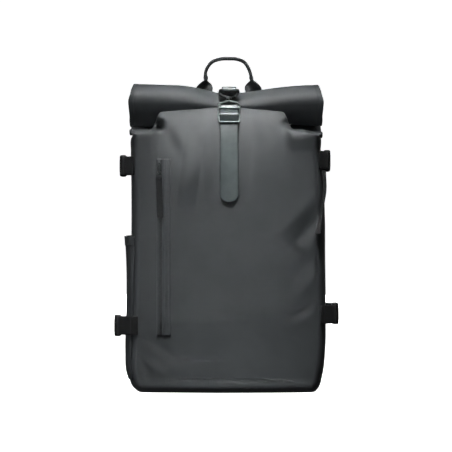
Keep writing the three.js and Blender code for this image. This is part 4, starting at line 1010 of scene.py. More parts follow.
def collar():
    """Both skins of the flat tube, joined round each hem, where the two cloths part by a narrow slot"""
    normals = grid_normals(collar_grid, closed=False)
    in_front = ease(-6, 8, 10 - collar_grid[..., 1])
    lift = ridges(collar_grid[..., 0], collar_grid[..., 2], ROLL_FOLDS, at_ends=1.0) * in_front
    from_end = COLLAR_HALF * (1 - np.abs(collar_shares))
    hem = HEM_LIFT * (1 - ease(HEM_WIDTH - 0.8, HEM_WIDTH + 0.8, from_end))
    half = COLLAR_THICK / 2 - HEM_LIFT + hem
    outside = collar_grid + normals * (half[None, :] + lift)[..., None]
    inside = collar_grid - normals * half[None, :, None]
    lips = []
    for column, way in ((-1, 1), (0, -1)):
        edge, normal = collar_grid[:, column], normals[:, column]
        layers = [edge + normal * off + np.array([way * (past - LIP_REACH), 0, 0]) for past, off in LIP]
        lips.append(np.stack(layers, axis=1))
    right, left = lips
    ring = np.concatenate([outside, right, inside[:, ::-1], left[:, ::-1]], axis=1)
    rows, size = ring.shape[:2]
    points = ring.reshape(-1, 3)
    faces = grid_quads(rows, size, 0, closed=True)
    first, last = list(range(size)), list(range((rows - 1) * size, rows * size))
    columns = collar_grid.shape[1]
    second = columns + len(LIP)  # where the inside starts
    for ends, flip in ((first, True), (last, False)):
        top, bottom = ends[:columns], ends[second : second + columns][::-1]
        for j in range(columns - 1):
            quad = [top[j], top[j + 1], bottom[j + 1], bottom[j]]
            faces.append(quad if flip else quad[::-1])
        right_lip = [top[-1], *ends[columns:second], bottom[-1]]
        left_lip = [bottom[0], *ends[second + columns :], top[0]]
        faces += [lip if flip else lip[::-1] for lip in (right_lip, left_lip)]
    pattern, girth = grid_pattern(ring)
    rubbed = np.zeros(ring.shape[:2])
    rubbed[:, :columns] = rubbed_places(outside, closed=False)
    rubbed[:, columns:second] = HEM_RUB
    rubbed[:, second + columns :] = HEM_RUB
    return piece("roll_cloth", points, faces, SLATE, pattern, girth, rubbed)


roll_cloth = dress(collar(), "cloth", "roll_collar")

# %% [markdown]
# ## The closure
# The front strap is sewn to the panel, climbs to a wire ring, wraps round it, comes back through a slide
# buckle and hangs down over itself with a round tip. Buckle and strap lie on the slope of the front fold.
# The ring carries a snap hook, which lies on the pinched roll and holds the loop of the rear strap.

# %% Lines that the straps follow
STRAP_WIDTH, STRAP_THICK, REAR_WIDTH = 30.0, 2.2, 24.0
TAIL_END, ANCHOR, BUCKLE_FOOT = 308.0, 326.0, 432.0
BUCKLE_WIDTH, BUCKLE_HEIGHT, WIRE, STANDOFF = 37.0, 28.0, 3.0, 8.0
LAYER_ONE = SEAM_GAP + STRAP_THICK / 2
LAYER_TWO = LAYER_ONE + STRAP_THICK + SEAM_GAP
BAR_REACH = BUCKLE_HEIGHT / 2 - WIRE / 2
BAR_BEND = WIRE / 2 + 1.5 * SEAM_GAP + STRAP_THICK / 2

rising_rows = len(LOWER_ROWS) + 3
front_depths, front_heights = BODY_TABLE[:rising_rows, :2].T
slope_foot = np.array([np.interp(BUCKLE_FOOT, front_heights, front_depths), BUCKLE_FOOT])
slope_head_z = BUCKLE_FOOT + 0.43 * BUCKLE_HEIGHT
slope_head = np.array([np.interp(slope_head_z, front_heights, front_depths), slope_head_z])
slope_up = unit(slope_head - slope_foot)
slope_out = np.array([-slope_up[1], slope_up[0]])


def on_slope(up, out):
    """A place on the fold's slope as Y and Z, up from the buckle's foot and out from the cloth"""
    return slope_foot + slope_up * up + slope_out * out


def round_bar(up, out, radius, angles):
    """Places on a strap's bend round a bar, by angles from straight up the slope towards the front"""
    return [on_slope(up + math.cos(a) * radius, out + math.sin(a) * radius) for a in np.radians(angles)]


def beside(profile, distance):
    """A line of Y and Z moved off to its left"""
    tangent = unit(np.gradient(profile, axis=0))
    return profile + np.stack([-tangent[:, 1], tangent[:, 0]], axis=1) * distance


def stretch(profile, low, high):
    """The part of a rising line between two heights"""
    inside = profile[(profile[:, 1] > low) & (profile[:, 1] < high)]
    ends = [[np.interp(z, profile[:, 1], profile[:, 0]), z] for z in (low, high)]
    return np.concatenate([ends[:1], inside, ends[1:]])


def upright_at(x, points):
    """Places on one upright plane, from Y and Z"""
    points = np.asarray(points)
    return np.column_stack([np.full(len(points), x), points])


front_profile = body_grid[:, 2, 1:]
crest = int(front_profile[:, 1].argmax())
front_profile = front_profile[: crest + 1]
print("slope under the buckle:", round(math.degrees(math.atan2(slope_up[1], slope_up[0]))), "degrees")

# %% [markdown]
# The strap is one line through every bend, so it is drawn once and swept once. Its two layers keep a sewn
# gap, and its width shrinks over the last half width to round the tip.

# %% Front strap
STRAP_STEP = 1.3
RING_WIRE, RING_WIDTH, RING_LENGTH = 3.2, 37.0, 18.0
RING_BEND = RING_WIRE / 2 + 1.5 * SEAM_GAP + STRAP_THICK / 2
RING_UP, RING_OUT = BUCKLE_HEIGHT + RING_WIRE, STANDOFF - BAR_BEND - RING_BEND
middle_up = BUCKLE_HEIGHT / 2
inner_layer = stretch(beside(front_profile, LAYER_ONE), ANCHOR, BUCKLE_FOOT + 0.68 * BUCKLE_HEIGHT)
outer_layer = stretch(beside(front_profile, LAYER_TWO), TAIL_END, BUCKLE_FOOT - STANDOFF)[::-1]
weave = [
    *round_bar(RING_UP, RING_OUT, RING_BEND, range(-80, 91, 17)),
    *round_bar(middle_up + BAR_REACH, STANDOFF, BAR_BEND, [-90, -119]),
    *round_bar(middle_up, STANDOFF, BAR_BEND, [61, 80, 100, 119]),
    *round_bar(middle_up - BAR_REACH, STANDOFF, BAR_BEND, [-61, -95]),
]
strap_stops = [*inner_layer[::4], *weave, *outer_layer[2::4], outer_layer[-1]]
strap_line = smooth_line(upright_at(CLOSURE_X, strap_stops), STRAP_STEP)
from_tip = lengths_along(strap_line)[-1] - lengths_along(strap_line)
tip_round = np.minimum(from_tip, STRAP_WIDTH / 2)
strap_widths = 2 * np.sqrt(np.maximum(0.2, (STRAP_WIDTH / 2) ** 2 - (STRAP_WIDTH / 2 - tip_round) ** 2))
band("front_strap", strap_line, (1, 0, 0), strap_widths, STRAP_THICK, FRONT_BAND,
     "coated_strap", "closure_strap")

# %% [markdown]
# Buckle and ring are drawn flat, as closed lines of wire, and then tilted on to the slope. Drawing them in
# place would mix their own shape with the slope's.


# %% Slide buckle
def tilted(part, foot, up):
    """A part drawn as X, up and out, moved to a foot and tilted so that its up runs along a direction"""
    points, faces, pattern = part
    points = np.asarray(points, float)
    placed = np.stack([
        points[:, 0] + CLOSURE_X,
        foot[0] + up[0] * points[:, 1] - up[1] * points[:, 2],
        foot[1] + up[1] * points[:, 1] + up[0] * points[:, 2],
    ], axis=1)
    return placed, faces, pattern


def flat(line):
    """A line of X and up, in a part's own plane"""
    return np.column_stack([line, np.zeros(len(line))])


def mirrored(right_half):
    """A closed outline from its right half"""
    right_half = np.asarray(right_half, float)
    return np.concatenate([right_half, right_half[::-1] * [-1, 1]])


half_wide, top_bar = (BUCKLE_WIDTH - WIRE) / 2, BUCKLE_HEIGHT - WIRE
EAR = 1.0
buckle_outline = mirrored([
    [half_wide - 0.4, 0], [half_wide, top_bar * 0.5], [half_wide - 0.3, top_bar * 0.8],
    [half_wide + EAR, top_bar + 0.6],
])
frame_line = rounded(buckle_outline, 3.4, 6)
bar_line = np.array([[x, BUCKLE_HEIGHT / 2 - WIRE / 2] for x in np.linspace(-half_wide, half_wide, 9)])
slide = together(wire(flat(frame_line), WIRE / 2, closed=True), wire(flat(bar_line), WIRE / 2))
slide = tilted(slide, on_slope(WIRE / 2, STANDOFF), slope_up)
dress(piece("slide_frame", *slide[:2], GUNMETAL), "gunmetal", "slide_buckle")

# %% Swivel ring
HOOK_CLIMB = math.radians(33)
hook_up = np.array([math.cos(HOOK_CLIMB), math.sin(HOOK_CLIMB)])
ring_bar = on_slope(RING_UP, RING_OUT)
ring_half = (RING_WIDTH - RING_WIRE) / 2
ring_outline = mirrored([
    [ring_half - 4, 0], [ring_half - 1.2, 0.4], [ring_half, 2.2], [ring_half, 0.38 * RING_LENGTH],
    [0.86 * ring_half, 0.63 * RING_LENGTH], [0.6 * ring_half, 0.83 * RING_LENGTH],
    [0.22 * ring_half, RING_LENGTH],
])
STUD, BARREL = 2.0, 6.0
METAL_CREASE, PLASTIC_CREASE = 50, 45  # degrees: edges that turn by more stay sharp
stud_up = RING_LENGTH + RING_WIRE / 2 + BARREL - 1
stud_profile = [
    [0.6, RING_LENGTH - 2.2], [2.6, RING_LENGTH - 1.2], [2.6, RING_LENGTH + 0.9], [STUD, RING_LENGTH + 1.4],
    [STUD, stud_up - 1], [1.2, stud_up],
]
ring = together(
    wire(flat(smooth_line(ring_outline, 1.2, closed=True)), RING_WIRE / 2, closed=True),
    turned(stud_profile),
)
ring = tilted(ring, ring_bar, hook_up)
dress(piece("swivel_wire", *ring[:2], GUNMETAL, crease=METAL_CREASE), "gunmetal", "swivel_ring")

# %% [markdown]
# The hook is a forged bow with a barrel that turns on the ring's stud. Its gate sits between two cheeks
# and swings inwards about their pin, so the gate is a piece of its own.

# %% Snap hook
HOOK_LENGTH, HOOK_WIDTH, HOOK_BAR, HOOK_THICK = 28.0, 34.6, 4.6, 5.4
GATE_THICK, GATE_LENGTH, HINGE_GAP, PIVOT_RADIUS = 3.0, 12.0, 0.3, 2.0
hook_foot = ring_bar + hook_up * (RING_LENGTH + RING_WIRE / 2 + SEAM_GAP + BARREL)
pivot = np.array([0.25 * HOOK_WIDTH, 0.235 * HOOK_LENGTH])
outer, inner = HOOK_WIDTH / 2, HOOK_WIDTH / 2 - HOOK_BAR
gate_lean = math.atan2(outer - HOOK_BAR / 2 - pivot[0], GATE_LENGTH * 0.94)
gate_head = pivot[1] + GATE_LENGTH * math.cos(gate_lean) + PIVOT_RADIUS * math.sin(gate_lean) + SEAM_GAP
bow = np.array([
    [-4.4, 0], [-0.45 * outer, 0.1 * HOOK_LENGTH], [-outer, 0.42 * HOOK_LENGTH], [-outer, HOOK_LENGTH],
    [outer, HOOK_LENGTH], [outer, gate_head + 0.2], [inner, gate_head + 0.2],
    [inner, HOOK_LENGTH - HOOK_BAR],
    [-inner, HOOK_LENGTH - HOOK_BAR], [-inner, 0.48 * HOOK_LENGTH], [-0.3 * outer, 0.23 * HOOK_LENGTH],
    [pivot[0] - 5.5, pivot[1]], [pivot[0] - 3.2, pivot[1] - 3.0], [pivot[0] + 0.2, pivot[1] - 4.0],
    [4.4, 0],
])
cheek = np.array([
    [0, 3.0], [2, 6.5], [pivot[0] - 5, pivot[1]], [pivot[0] - 1, pivot[1] + 2.6],
    [pivot[0] + 1.6, pivot[1] + 2.2], [pivot[0] + 2.7, pivot[1]], [0.45 * outer, 0.07 * HOOK_LENGTH],
    [3.8, 0.4],
])


def raised(part, out):
    """A part moved out of its plane"""
    return part[0] + np.array([0, 0, out]), part[1], part[2]


def laid(part):
    """A solid of revolution turned to lie across the plane, for pins"""
    points = part[0]
    return np.stack([points[:, 0], points[:, 2], points[:, 1]], axis=1), part[1], part[2]


def moved(part, x, up):
    """A part moved in its plane"""
    return part[0] + np.array([x, up, 0.0]), part[1], part[2]


cheek_thick = (HOOK_THICK - GATE_THICK) / 2 - HINGE_GAP
cheek_out = HOOK_THICK / 2 - cheek_thick / 2
# Radius and height
barrel = [
    [4.1, -5.9], [4.5, -5.5], [4.5, -3.6], [4.0, -3.2], [4.0, -2.2], [4.5, -1.8], [4.5, 0.6], [3.6, 1.5],
]
pin = [[1.5, -3.05], [1.7, -2.8], [0.78, -2.6], [0.78, 2.6], [1.7, 2.8], [1.5, 3.05]]
hook = together(
    plate(rounded(bow, 4.5, 6), HOOK_THICK, 2.0),
    raised(plate(rounded(cheek, 2.0, 5), cheek_thick, 0.35), cheek_out),
    raised(plate(rounded(cheek, 2.0, 5), cheek_thick, 0.35), -cheek_out),
    turned(barrel),
    moved(laid(turned(pin, 16)), *pivot),
)
hook = tilted(hook, hook_foot, hook_up)
dress(piece("hook_bow", *hook[:2], HOOK_METAL, crease=METAL_CREASE), "gunmetal", "snap_hook")

# %% Gate
gate_turn = np.radians(np.linspace(180, 360, 13))
gate_outline = np.concatenate([
    np.column_stack([np.cos(gate_turn), np.sin(gate_turn)]) * PIVOT_RADIUS,
    [[PIVOT_RADIUS * 0.85, GATE_LENGTH - 0.8], [PIVOT_RADIUS * 0.5, GATE_LENGTH],
     [-PIVOT_RADIUS * 0.5, GATE_LENGTH], [-PIVOT_RADIUS * 0.85, GATE_LENGTH - 0.8]],
])
lean = np.array([[math.cos(gate_lean), -math.sin(gate_lean)], [math.sin(gate_lean), math.cos(gate_lean)]])
gate = plate(gate_outline @ lean + pivot, GATE_THICK, 0.7)
gate = tilted(gate, hook_foot, hook_up)
dress(piece("gate_bar", *gate[:2], HOOK_METAL, crease=METAL_CREASE), "gunmetal", "hook_gate", body="gate")

# %% [markdown]
# The rear strap is sewn to the bag's back, comes up behind the roll, lies over it and loops round the far
# bar of the hook. Its line takes the body's back where it lies on it, so the two can't drift apart.

# %% Rear strap
COLLAR_BACK = NECK_Y + 0.06 * ROLL_DEPTH + COLLAR_THICK / 2
STRAP_END_Z = BODY_HEIGHT - 0.51 * ROLL_RISE
back_profile = body_grid[:, HALF_COLUMNS, 1:]


def up_the_back(standoff):
    """From the sewn end up the back's slope to a straight run behind the roll"""
    slope = beside(back_profile, -standoff)
    slope = slope[: int(slope[:, 1].argmax()) + 1]
    run = COLLAR_BACK + standoff + SEAM_GAP
    rising = stretch(slope, STRAP_END_Z, BODY_HEIGHT - 2)[::6]
    rising = rising[rising[:, 0] > COLLAR_BACK + 0.24 * ROLL_DEPTH]
    foot = [run + 2 * STRAP_THICK, BODY_HEIGHT + standoff + STRAP_THICK]
    return [*rising, foot, [run, BODY_HEIGHT + 0.19 * ROLL_RISE]]


far_bar = hook_foot + hook_up * (HOOK_LENGTH - HOOK_BAR / 2)
far_bend = math.hypot(HOOK_THICK, HOOK_BAR) / 2 + 2 * SEAM_GAP + STRAP_THICK / 2
loop_turn = np.radians(range(75, 301, 15))
rear_loop = [far_bar + np.array([math.cos(a), math.sin(a)]) * far_bend for a in loop_turn]
behind_roll = [[NECK_Y - forward * ROLL_DEPTH, BODY_HEIGHT + up * ROLL_RISE]
               for forward, up in ((-0.16, 0.66), (-0.09, 0.82), (0.06, 0.915))]
over_roll = [np.array(behind_roll[2]) * (1 - t) + rear_loop[0] * t + [0, STRAP_THICK / 2]
             for t in (0.36, 0.69)]
rear_end = [far_bar[0] + 2 * far_bend, far_bar[1] - SEAM_GAP]
rear_stops = [*up_the_back(LAYER_ONE), *behind_roll, *over_roll, *rear_loop, rear_end]
rear_line = smooth_line(upright_at(CLOSURE_X, rear_stops), STRAP_STEP)
band("rear_band", rear_line, (1, 0, 0), REAR_WIDTH, STRAP_THICK, REAR_BAND, "coated_strap", "rear_strap")

# %% [markdown]
# The carry handle is folded webbing. It climbs the back beside the rear strap, and each leg turns edge-on
# before the arch. Its line carries six numbers, place and width, so both are smoothed together.

# %% Carry handle
HANDLE_WIDTH, HANDLE_THICK, HANDLE_X, HANDLE_SPAN = 28.0, 5.2, 4.5, 80.0
HANDLE_TOP = BODY_HEIGHT + 111
handle_half = HANDLE_SPAN / 2
turn_foot, turn_head = BODY_HEIGHT + 0.92 * ROLL_RISE, BODY_HEIGHT + 1.14 * ROLL_RISE
arch_rise = HANDLE_TOP - HANDLE_THICK / 2 - turn_head
handle_rise = up_the_back(SEAM_GAP + HANDLE_THICK / 2)
handle_run = handle_rise[-1][0]


def handle_leg(x, side):
    """One leg's places and the directions of its width, from the sewn end up to where it stands edge-on"""
    places = [[x, *p] for p in handle_rise]
    widths = [[side, 0, 0]] * len(places)
    for t in np.linspace(0, 1, 5):
        outward = 0.06 * handle_half * t * np.sign(x - HANDLE_X) * -side
        places.append([x + side * outward, handle_run + 2 * t, turn_foot + (turn_head - turn_foot) * t])
        widths.append([side * math.cos(t * math.pi / 2), math.sin(t * math.pi / 2), 0])
    return places, widths


ARCH = [
    [-0.96, 0.3], [-0.88, 0.58], [-0.7, 0.83], [-0.4, 0.97], [0, 1], [0.36, 0.97], [0.64, 0.83],
    [0.81, 0.55], [0.9, 0.26],
]
left_places, left_widths = handle_leg(HANDLE_X - handle_half, 1)
right_places, right_widths = handle_leg(HANDLE_X + handle_half, -1)
arch_places = [[HANDLE_X + x * handle_half, handle_run + 2, turn_head + up * arch_rise] for x, up in ARCH]
handle_points = np.array(left_places + arch_places + right_places[::-1], float)
handle_sides = np.array(left_widths + [[0, 1, 0]] * len(ARCH) + right_widths[::-1], float)
handle_line = smooth_line(np.concatenate([handle_points, handle_sides], axis=1), 1.6)
handle_line, handle_sides = handle_line[:, :3], unit(handle_line[:, 3:])
# Its finish is painted paler than the other webbing, as painted light from above.
band("handle_webbing", handle_line, handle_sides, HANDLE_WIDTH, HANDLE_THICK, HANDLE_WEBBING_PAINTED_LIGHTER,
     "webbing", "carry_handle")

# %% [markdown]
# ## Places on the body's outside
# The straps, the pocket and the zip lie on the cloth, so they are drawn in the body's own terms: how far
# round a half ring, at what height, and how far off the cloth.

# %% Off the cloth
FRONT_SEAM = FRONT_COLUMNS - 1
BACK_SEAM = FRONT_COLUMNS + SIDE_COLUMNS - 2
upright_grid = body_grid[: len(upright) + 10]


@functools.lru_cache(maxsize=None)
def half_ring(side, z):
    """The body's half ring at one height, from the middle of the front round to the middle of the back"""
    columns = np.arange(HALF_COLUMNS) if side > 0 else -np.arange(HALF_COLUMNS) % RING_SIZE
    half = upright_grid[:, columns]
    low = np.clip((half[..., 2] < z).sum(axis=0) - 1, 0, len(half) - 2)
    every = np.arange(HALF_COLUMNS)
    under, over = half[low, every], half[low + 1, every]
    t = (z - under[:, 2:]) / (over[:, 2:] - under[:, 2:])
    return under * (1 - t) + over * t


def off_cloth(side, column, z, distance):
    """A place off the body's outside, by its column round the half ring"""
    ring = half_ring(side, z)
    numbers = np.arange(HALF_COLUMNS)
    spots = column + np.array([0, 1.5, -1.5])
    at, ahead, behind = np.stack([np.interp(spots, numbers, ring[:, k]) for k in range(3)], axis=1)
    along = ahead - behind
    return at + unit(np.array([along[1], -along[0], 0.0]) * side) * distance


def column_at(x, z):
    """The half ring's column at a place left of the front's middle"""
    ring = half_ring(-1, z)
    return float(np.interp(-x, -ring[:FRONT_SEAM, 0], np.arange(FRONT_SEAM)))


# Columns at the places round a half ring: 0 is the front's middle, 8 the front seam, 14 the back seam
PLACE_COLUMNS = [
    *np.multiply([0, 0.14, 0.3, 0.46, 0.6, 0.68, 0.76, 0.86, 1], FRONT_SEAM),
    *np.add(np.multiply([0.12, 0.3, 0.52, 0.74, 0.9], BACK_SEAM - FRONT_SEAM), FRONT_SEAM),
    *np.add(np.multiply([0, 0.07, 0.5, 1], BACK_COLUMNS - 1), BACK_SEAM),
]


def at_place(side, place, z, distance):
    """A place off the cloth, by its number round the half ring"""
    return off_cloth(side, float(np.interp(place, range(len(PLACE_COLUMNS)), PLACE_COLUMNS)), z, distance)


print("places round a half ring:", len(PLACE_COLUMNS), "columns:", HALF_COLUMNS)

# %% [markdown]
# Two straps on each side pull the bag in. Each lies on the cloth at its sewn ends and stands off it where
# its buckle sits, so its line is a short table of places and standoffs. The buckles are plates with
# rounded rims, which look moulded without a boolean or a bevel.


# %% Side straps
WEB_WIDTH, WEB_THICK = 30.0, 1.8
SIDE_STANDOFF, POCKET_WALL, POCKET_GAPE = 9.0, 1.8, 8.5
# Place round the side, and how far the webbing stands off the cloth as a share
SIDE_STRAP_LINE = [
    (8.55, 0.0), (9, 0.35), (9.5, 0.8), (10.15, 1.0), (11.75, 1.0), (12.4, 0.55), (13, 0.1), (13.8, 0.0),
]
STRAP_START, STRAP_END = SIDE_STRAP_LINE[0][0], SIDE_STRAP_LINE[-1][0]
UPPER_RIGHT_Z = BODY_HEIGHT - 58
# Name, side, height in front, drop towards the back, standoff as a share, thickness of what it lies on,
# and how far round the front it starts
SIDE_STRAPS = [
    ("upper_left", -1, BODY_HEIGHT - 67, 2, 1.3, 0, 0),
    ("upper_right", 1, UPPER_RIGHT_Z, 4, 0.5, 3, 0),
    ("lower_left", -1, 108.5, 6, 1.3, POCKET_WALL + 0.45 * POCKET_GAPE, 0.45),
    ("lower_right", 1, 126.0, 0, 1.6, 0, 0.1),
]


def buckle_parts():
    """A fastened side-release buckle seen flat: X is its height, up runs along the strap"""
    socket = rounded([
        [-15.5, -21], [15.5, -21], [17.6, -17], [17.6, -8], [13.2, -5.5], [13.2, 2.5], [17.2, 4.5],
        [17.2, 7.5], [-17.2, 7.5], [-17.2, 4.5], [-13.2, 2.5], [-13.2, -5.5], [-17.6, -8], [-17.6, -17],
    ], 2.4, 5)
    plug = rounded([[-17.2, 8.6], [17.2, 8.6], [17.6, 13], [15.5, 21], [-15.5, 21], [-17.6, 13]], 2.4, 5)
    parts = [plate(socket, 11, 2.6), plate(plug, 9.6, 2.4)]
    prong = np.array([[14, -5.6], [17.4, -4.6], [18, -1.0], [17.0, 3.6], [14, 4.2]])
    for side in (-1, 1):
        parts.append(plate(rounded(prong * [side, 1], 1.4, 4), 6.4, 1.6))
    for up in (-18.2, -15.6, 15.2, 17.6):
        rib = rounded([[-10, up - 0.5], [10, up - 0.5], [10, up + 0.5], [-10, up + 0.5]], 0.4, 3)
        parts.append(raised(plate(rib, 1.6, 0.4), 5.0 if up < 0 else 4.2))
    arrow = rounded([[-5.5, -7], [5.5, -7], [5.5, 3], [-5.5, 3]], 2.4, 5)
    parts.append(raised(plate(arrow, 1.4, 0.6), 5.0))
    return together(*parts)


for word, side, front_z, drop, standoff, base, wrap in SIDE_STRAPS:
    stops = []
    if wrap:
        for back, gaps in ((wrap + 0.3, 3), (wrap + 0.05, 7), (wrap * 0.5, 11)):
            stops.append(at_place(side, STRAP_START - back, front_z, gaps * SEAM_GAP + WEB_THICK / 2))
    for place, share in SIDE_STRAP_LINE:
        z = front_z - drop * (place - STRAP_START) / (STRAP_END - STRAP_START)
        lift = 3 * SEAM_GAP + WEB_THICK / 2 + base * min(1, 0.45 + share) + share * standoff * SIDE_STANDOFF
        stops.append(at_place(side, place, z, lift))
    band(f"side_webbing_{word}", smooth_line(stops, 1.8), (0, 0, 1), WEB_WIDTH, WEB_THICK, WEBBING,
         "webbing", f"side_strap_{word}")
    here, there = stops[-5], stops[-4]  # the ends of the strap's straight run
    along = unit(there - here)
    outward = unit(np.array([side, 0, 0]) - side * along[0] * along)
    upward = np.cross(along, outward)
    upward = upward * np.sign(upward[2])
    points, faces, pattern = buckle_parts()
    middle = (here + there) / 2
    points = middle + points[:, :1] * upward + points[:, 1:2] * along + points[:, 2:] * outward
    clasp = piece(f"side_clasp_{word}", points, faces, PLASTIC, crease=PLASTIC_CREASE)
    dress(clasp, "plastic", f"side_buckle_{word}")

# %% [markdown]
# The upper right strap's free end hangs by the front corner, edge-on to the front. It is narrow webbing
# that twists as it hangs, so each row of its table also turns its width.

# %% Hanging tail
# Share of its length, place round the corner, share of its width off the cloth, and turn to the right
TAIL_WIDTH, TAIL_LENGTH = 16.0, 102.0
TAIL_ROWS = [(0.0, 8.6, 0.52, 0.35), (0.3, 8.3, 0.6, 0.26), (0.62, 8.0, 0.55, 0.19), (1.0, 7.8, 0.66, 0.5)]
tail_top = UPPER_RIGHT_Z - WEB_WIDTH / 2 - WEB_THICK
tail_stops = []
for down, place, off, turn in TAIL_ROWS:
    spot = at_place(1, place, tail_top - down * TAIL_LENGTH, off * TAIL_WIDTH)
    tail_stops.append([*spot, turn, -math.sqrt(1 - turn**2), 0])
tail_line = smooth_line(tail_stops, 1.5)
band("tail_webbing", tail_line[:, :3], tail_line[:, 3:], TAIL_WIDTH, WEB_THICK, BINDING,
     "webbing", "strap_tail")

# %% [markdown]
# ## The zip and the side pocket
# A folded welt covers one side of the zip, and a narrow strip of the same cloth its other side. The coil
# lies in the groove between them. Each strip is a profile carried up the front panel, which keeps it on
# the cloth where the panel curves. A Shrinkwrap modifier would flatten its rolled edges.


# %% Cloth panels with a thickness
def panel(outer_skin, inner_skin):
    """A closed panel between two grids of points"""
    rows, columns = outer_skin.shape[:2]
    points = np.concatenate([outer_skin.reshape(-1, 3), inner_skin.reshape(-1, 3)])
    count = rows * columns
    faces = grid_quads(rows, columns) + grid_quads(rows, columns, count)
    number = np.arange(count).reshape(rows, columns)
    rim = [*number[0], *number[1:, -1], *number[-1, -2::-1], *number[-2:0:-1, 0]]
    rim = [int(v) for v in rim]
    for a, b in zip(rim, rim[1:] + rim[:1]):
        faces.append([a, b, count + b, count + a])
    pattern, _ = grid_pattern(outer_skin, closed=False)
    return points, faces, np.concatenate([pattern, pattern])


def front_strip(profile, foot, top, rows=90):
    """A strip up the front panel's left: its profile holds X and how far the cloth stands off there"""
    outside, inside = [], []
    for z in np.linspace(foot, top, rows):
        inside.append([off_cloth(-1, column_at(x, z), z, SEAM_GAP) for x, _ in profile])
        outside.append([off_cloth(-1, column_at(x, z), z, SEAM_GAP + rise) for x, rise in profile])
    return panel(np.array(outside), np.array(inside))


ZIP_FOOT, ZIP_TOP, WELT_LEFT = 92.0, BODY_HEIGHT - 56, 58.8 - BODY_WIDTH / 2
TAPE_WIDTH, TAPE_THICK = 8.0, 1.1
# X on the front panel, and how far the cloth stands off it there
WELT_PROFILE = [
    (-103.6, 0.3), (-102.4, 0.4), (-101.6, 0.9), (-101.2, 1.6), (-100.2, 2.1), (-98.0, 2.2), (-96.2, 2.0),
    (-95.0, 1.5), (-94.0, 0.8), (-92.8, 0.7), (-91.6, 1.0), (-90.6, 1.5), (-89.6, 1.4), (-89.0, 0.9),
    (-88.7, 0.3),
]
TAPE_PROFILE = [
    (-111.9, 0.3), (-111.5, 0.9), (-110.6, 1.3), (-109.0, 1.4), (-107.4, 1.2), (-106.8, 0.7),
    (-106.2, 0.35), (-104.2, 0.3),
]
for name, profile, slot, node in (
    ("welt_cloth", WELT_PROFILE, "cloth", "zip_welt"),
    ("zip_lip", TAPE_PROFILE, "webbing", "zip_tape"),
):
    points, faces, pattern = front_strip(profile, ZIP_FOOT, ZIP_TOP)
    dress(piece(name, points, faces, SLATE, pattern), slot, node)

# %% [markdown]
# The pocket is one panel sewn down on three sides and gaping at its mouth, with a hem there. Two short
# tables say how far it gapes round the side and up it, and their product places every point.

# %% Side pocket
POCKET_FOOT, POCKET_TOP = 20.0, 252.0
# Place round the corner, and the share of the gape there
POCKET_COLUMNS = np.array([
    [8.5, 0.0], [8.75, 0.3], [9, 0.62], [9.5, 0.9], [10, 1.0], [11, 1.0], [12, 0.92], [12.5, 0.65],
    [12.85, 0.25], [13, 0.0],
])
# Height as a share, and the share of the gape there
POCKET_ROWS = np.array([
    [0.0, 0.0], [0.04, 0.1], [0.16, 0.25], [0.32, 0.35], [0.55, 0.42], [0.76, 0.58], [0.92, 0.82],
    [1.0, 1.0],
])
POCKET_HEM = 15.0
pocket_places = np.linspace(POCKET_COLUMNS[0, 0], POCKET_COLUMNS[-1, 0], 44)
pocket_shares = np.concatenate([np.linspace(0, 0.9, 46), np.linspace(0.91, 1, 14)])
gape_round = np.clip(smooth_at(POCKET_COLUMNS[:, 0], POCKET_COLUMNS[:, 1], pocket_places), 0, None)
gape_up = np.clip(smooth_at(POCKET_ROWS[:, 0], POCKET_ROWS[:, 1], pocket_shares), 0, None)
pocket_in, pocket_out = [], []
for share, up in zip(pocket_shares, gape_up):
    z = POCKET_FOOT + (POCKET_TOP - POCKET_FOOT) * share
    hem_lift = 0.7 * float(ease(POCKET_HEM + 0.8, POCKET_HEM - 0.6, POCKET_TOP - z))
    standoffs = 3 * SEAM_GAP + gape_round * up * POCKET_GAPE
    pocket_in.append([at_place(-1, place, z, off) for place, off in zip(pocket_places, standoffs)])
    pocket_out.append([at_place(-1, place, z, off + POCKET_WALL - 0.5 + hem_lift)
                       for place, off in zip(pocket_places, standoffs)])
points, faces, pattern = panel(np.array(pocket_out), np.array(pocket_in))
dress(piece("pocket_cloth", points, faces, SLATE, pattern), "cloth", "side_pocket")

# %% [markdown]
# The slider is small on the picture, so it is put together from a rounded plate, two ridges, a bridge and
# a loop of wire. Its puller is a long tab of narrow webbing, which leans as the cloth behind it does.

# %% Slider and puller
SLIDER_LENGTH, SLIDER_WIDTH, SLIDER_THICK = 24.0, 9.0, 5.0
TAB_LENGTH, TAB_WIDTH, TAB_THICK = 63.0, 10.0, 2.2
tape_x = WELT_LEFT - SEAM_GAP - TAPE_WIDTH / 2


def tape_face(z):
    """Y of the zip tape's face at one height"""
    return off_cloth(-1, column_at(WELT_LEFT, z), z, SEAM_GAP + TAPE_THICK)[1]


def hung(part, top, length, standoff):
    """A part drawn as X, up and out, hung on the zip's tape and leaning as the cloth does"""
    lean_y = (tape_face(top) - tape_face(top - length)) / length
    up = unit(np.array([lean_y, 1.0]))
    points, faces, pattern = part
    placed = np.stack([
        points[:, 0] + tape_x,
        tape_face(top) - standoff + up[0] * points[:, 1] - up[1] * points[:, 2],
        top + up[1] * points[:, 1] + up[0] * points[:, 2],
    ], axis=1)
    return placed, faces, pattern


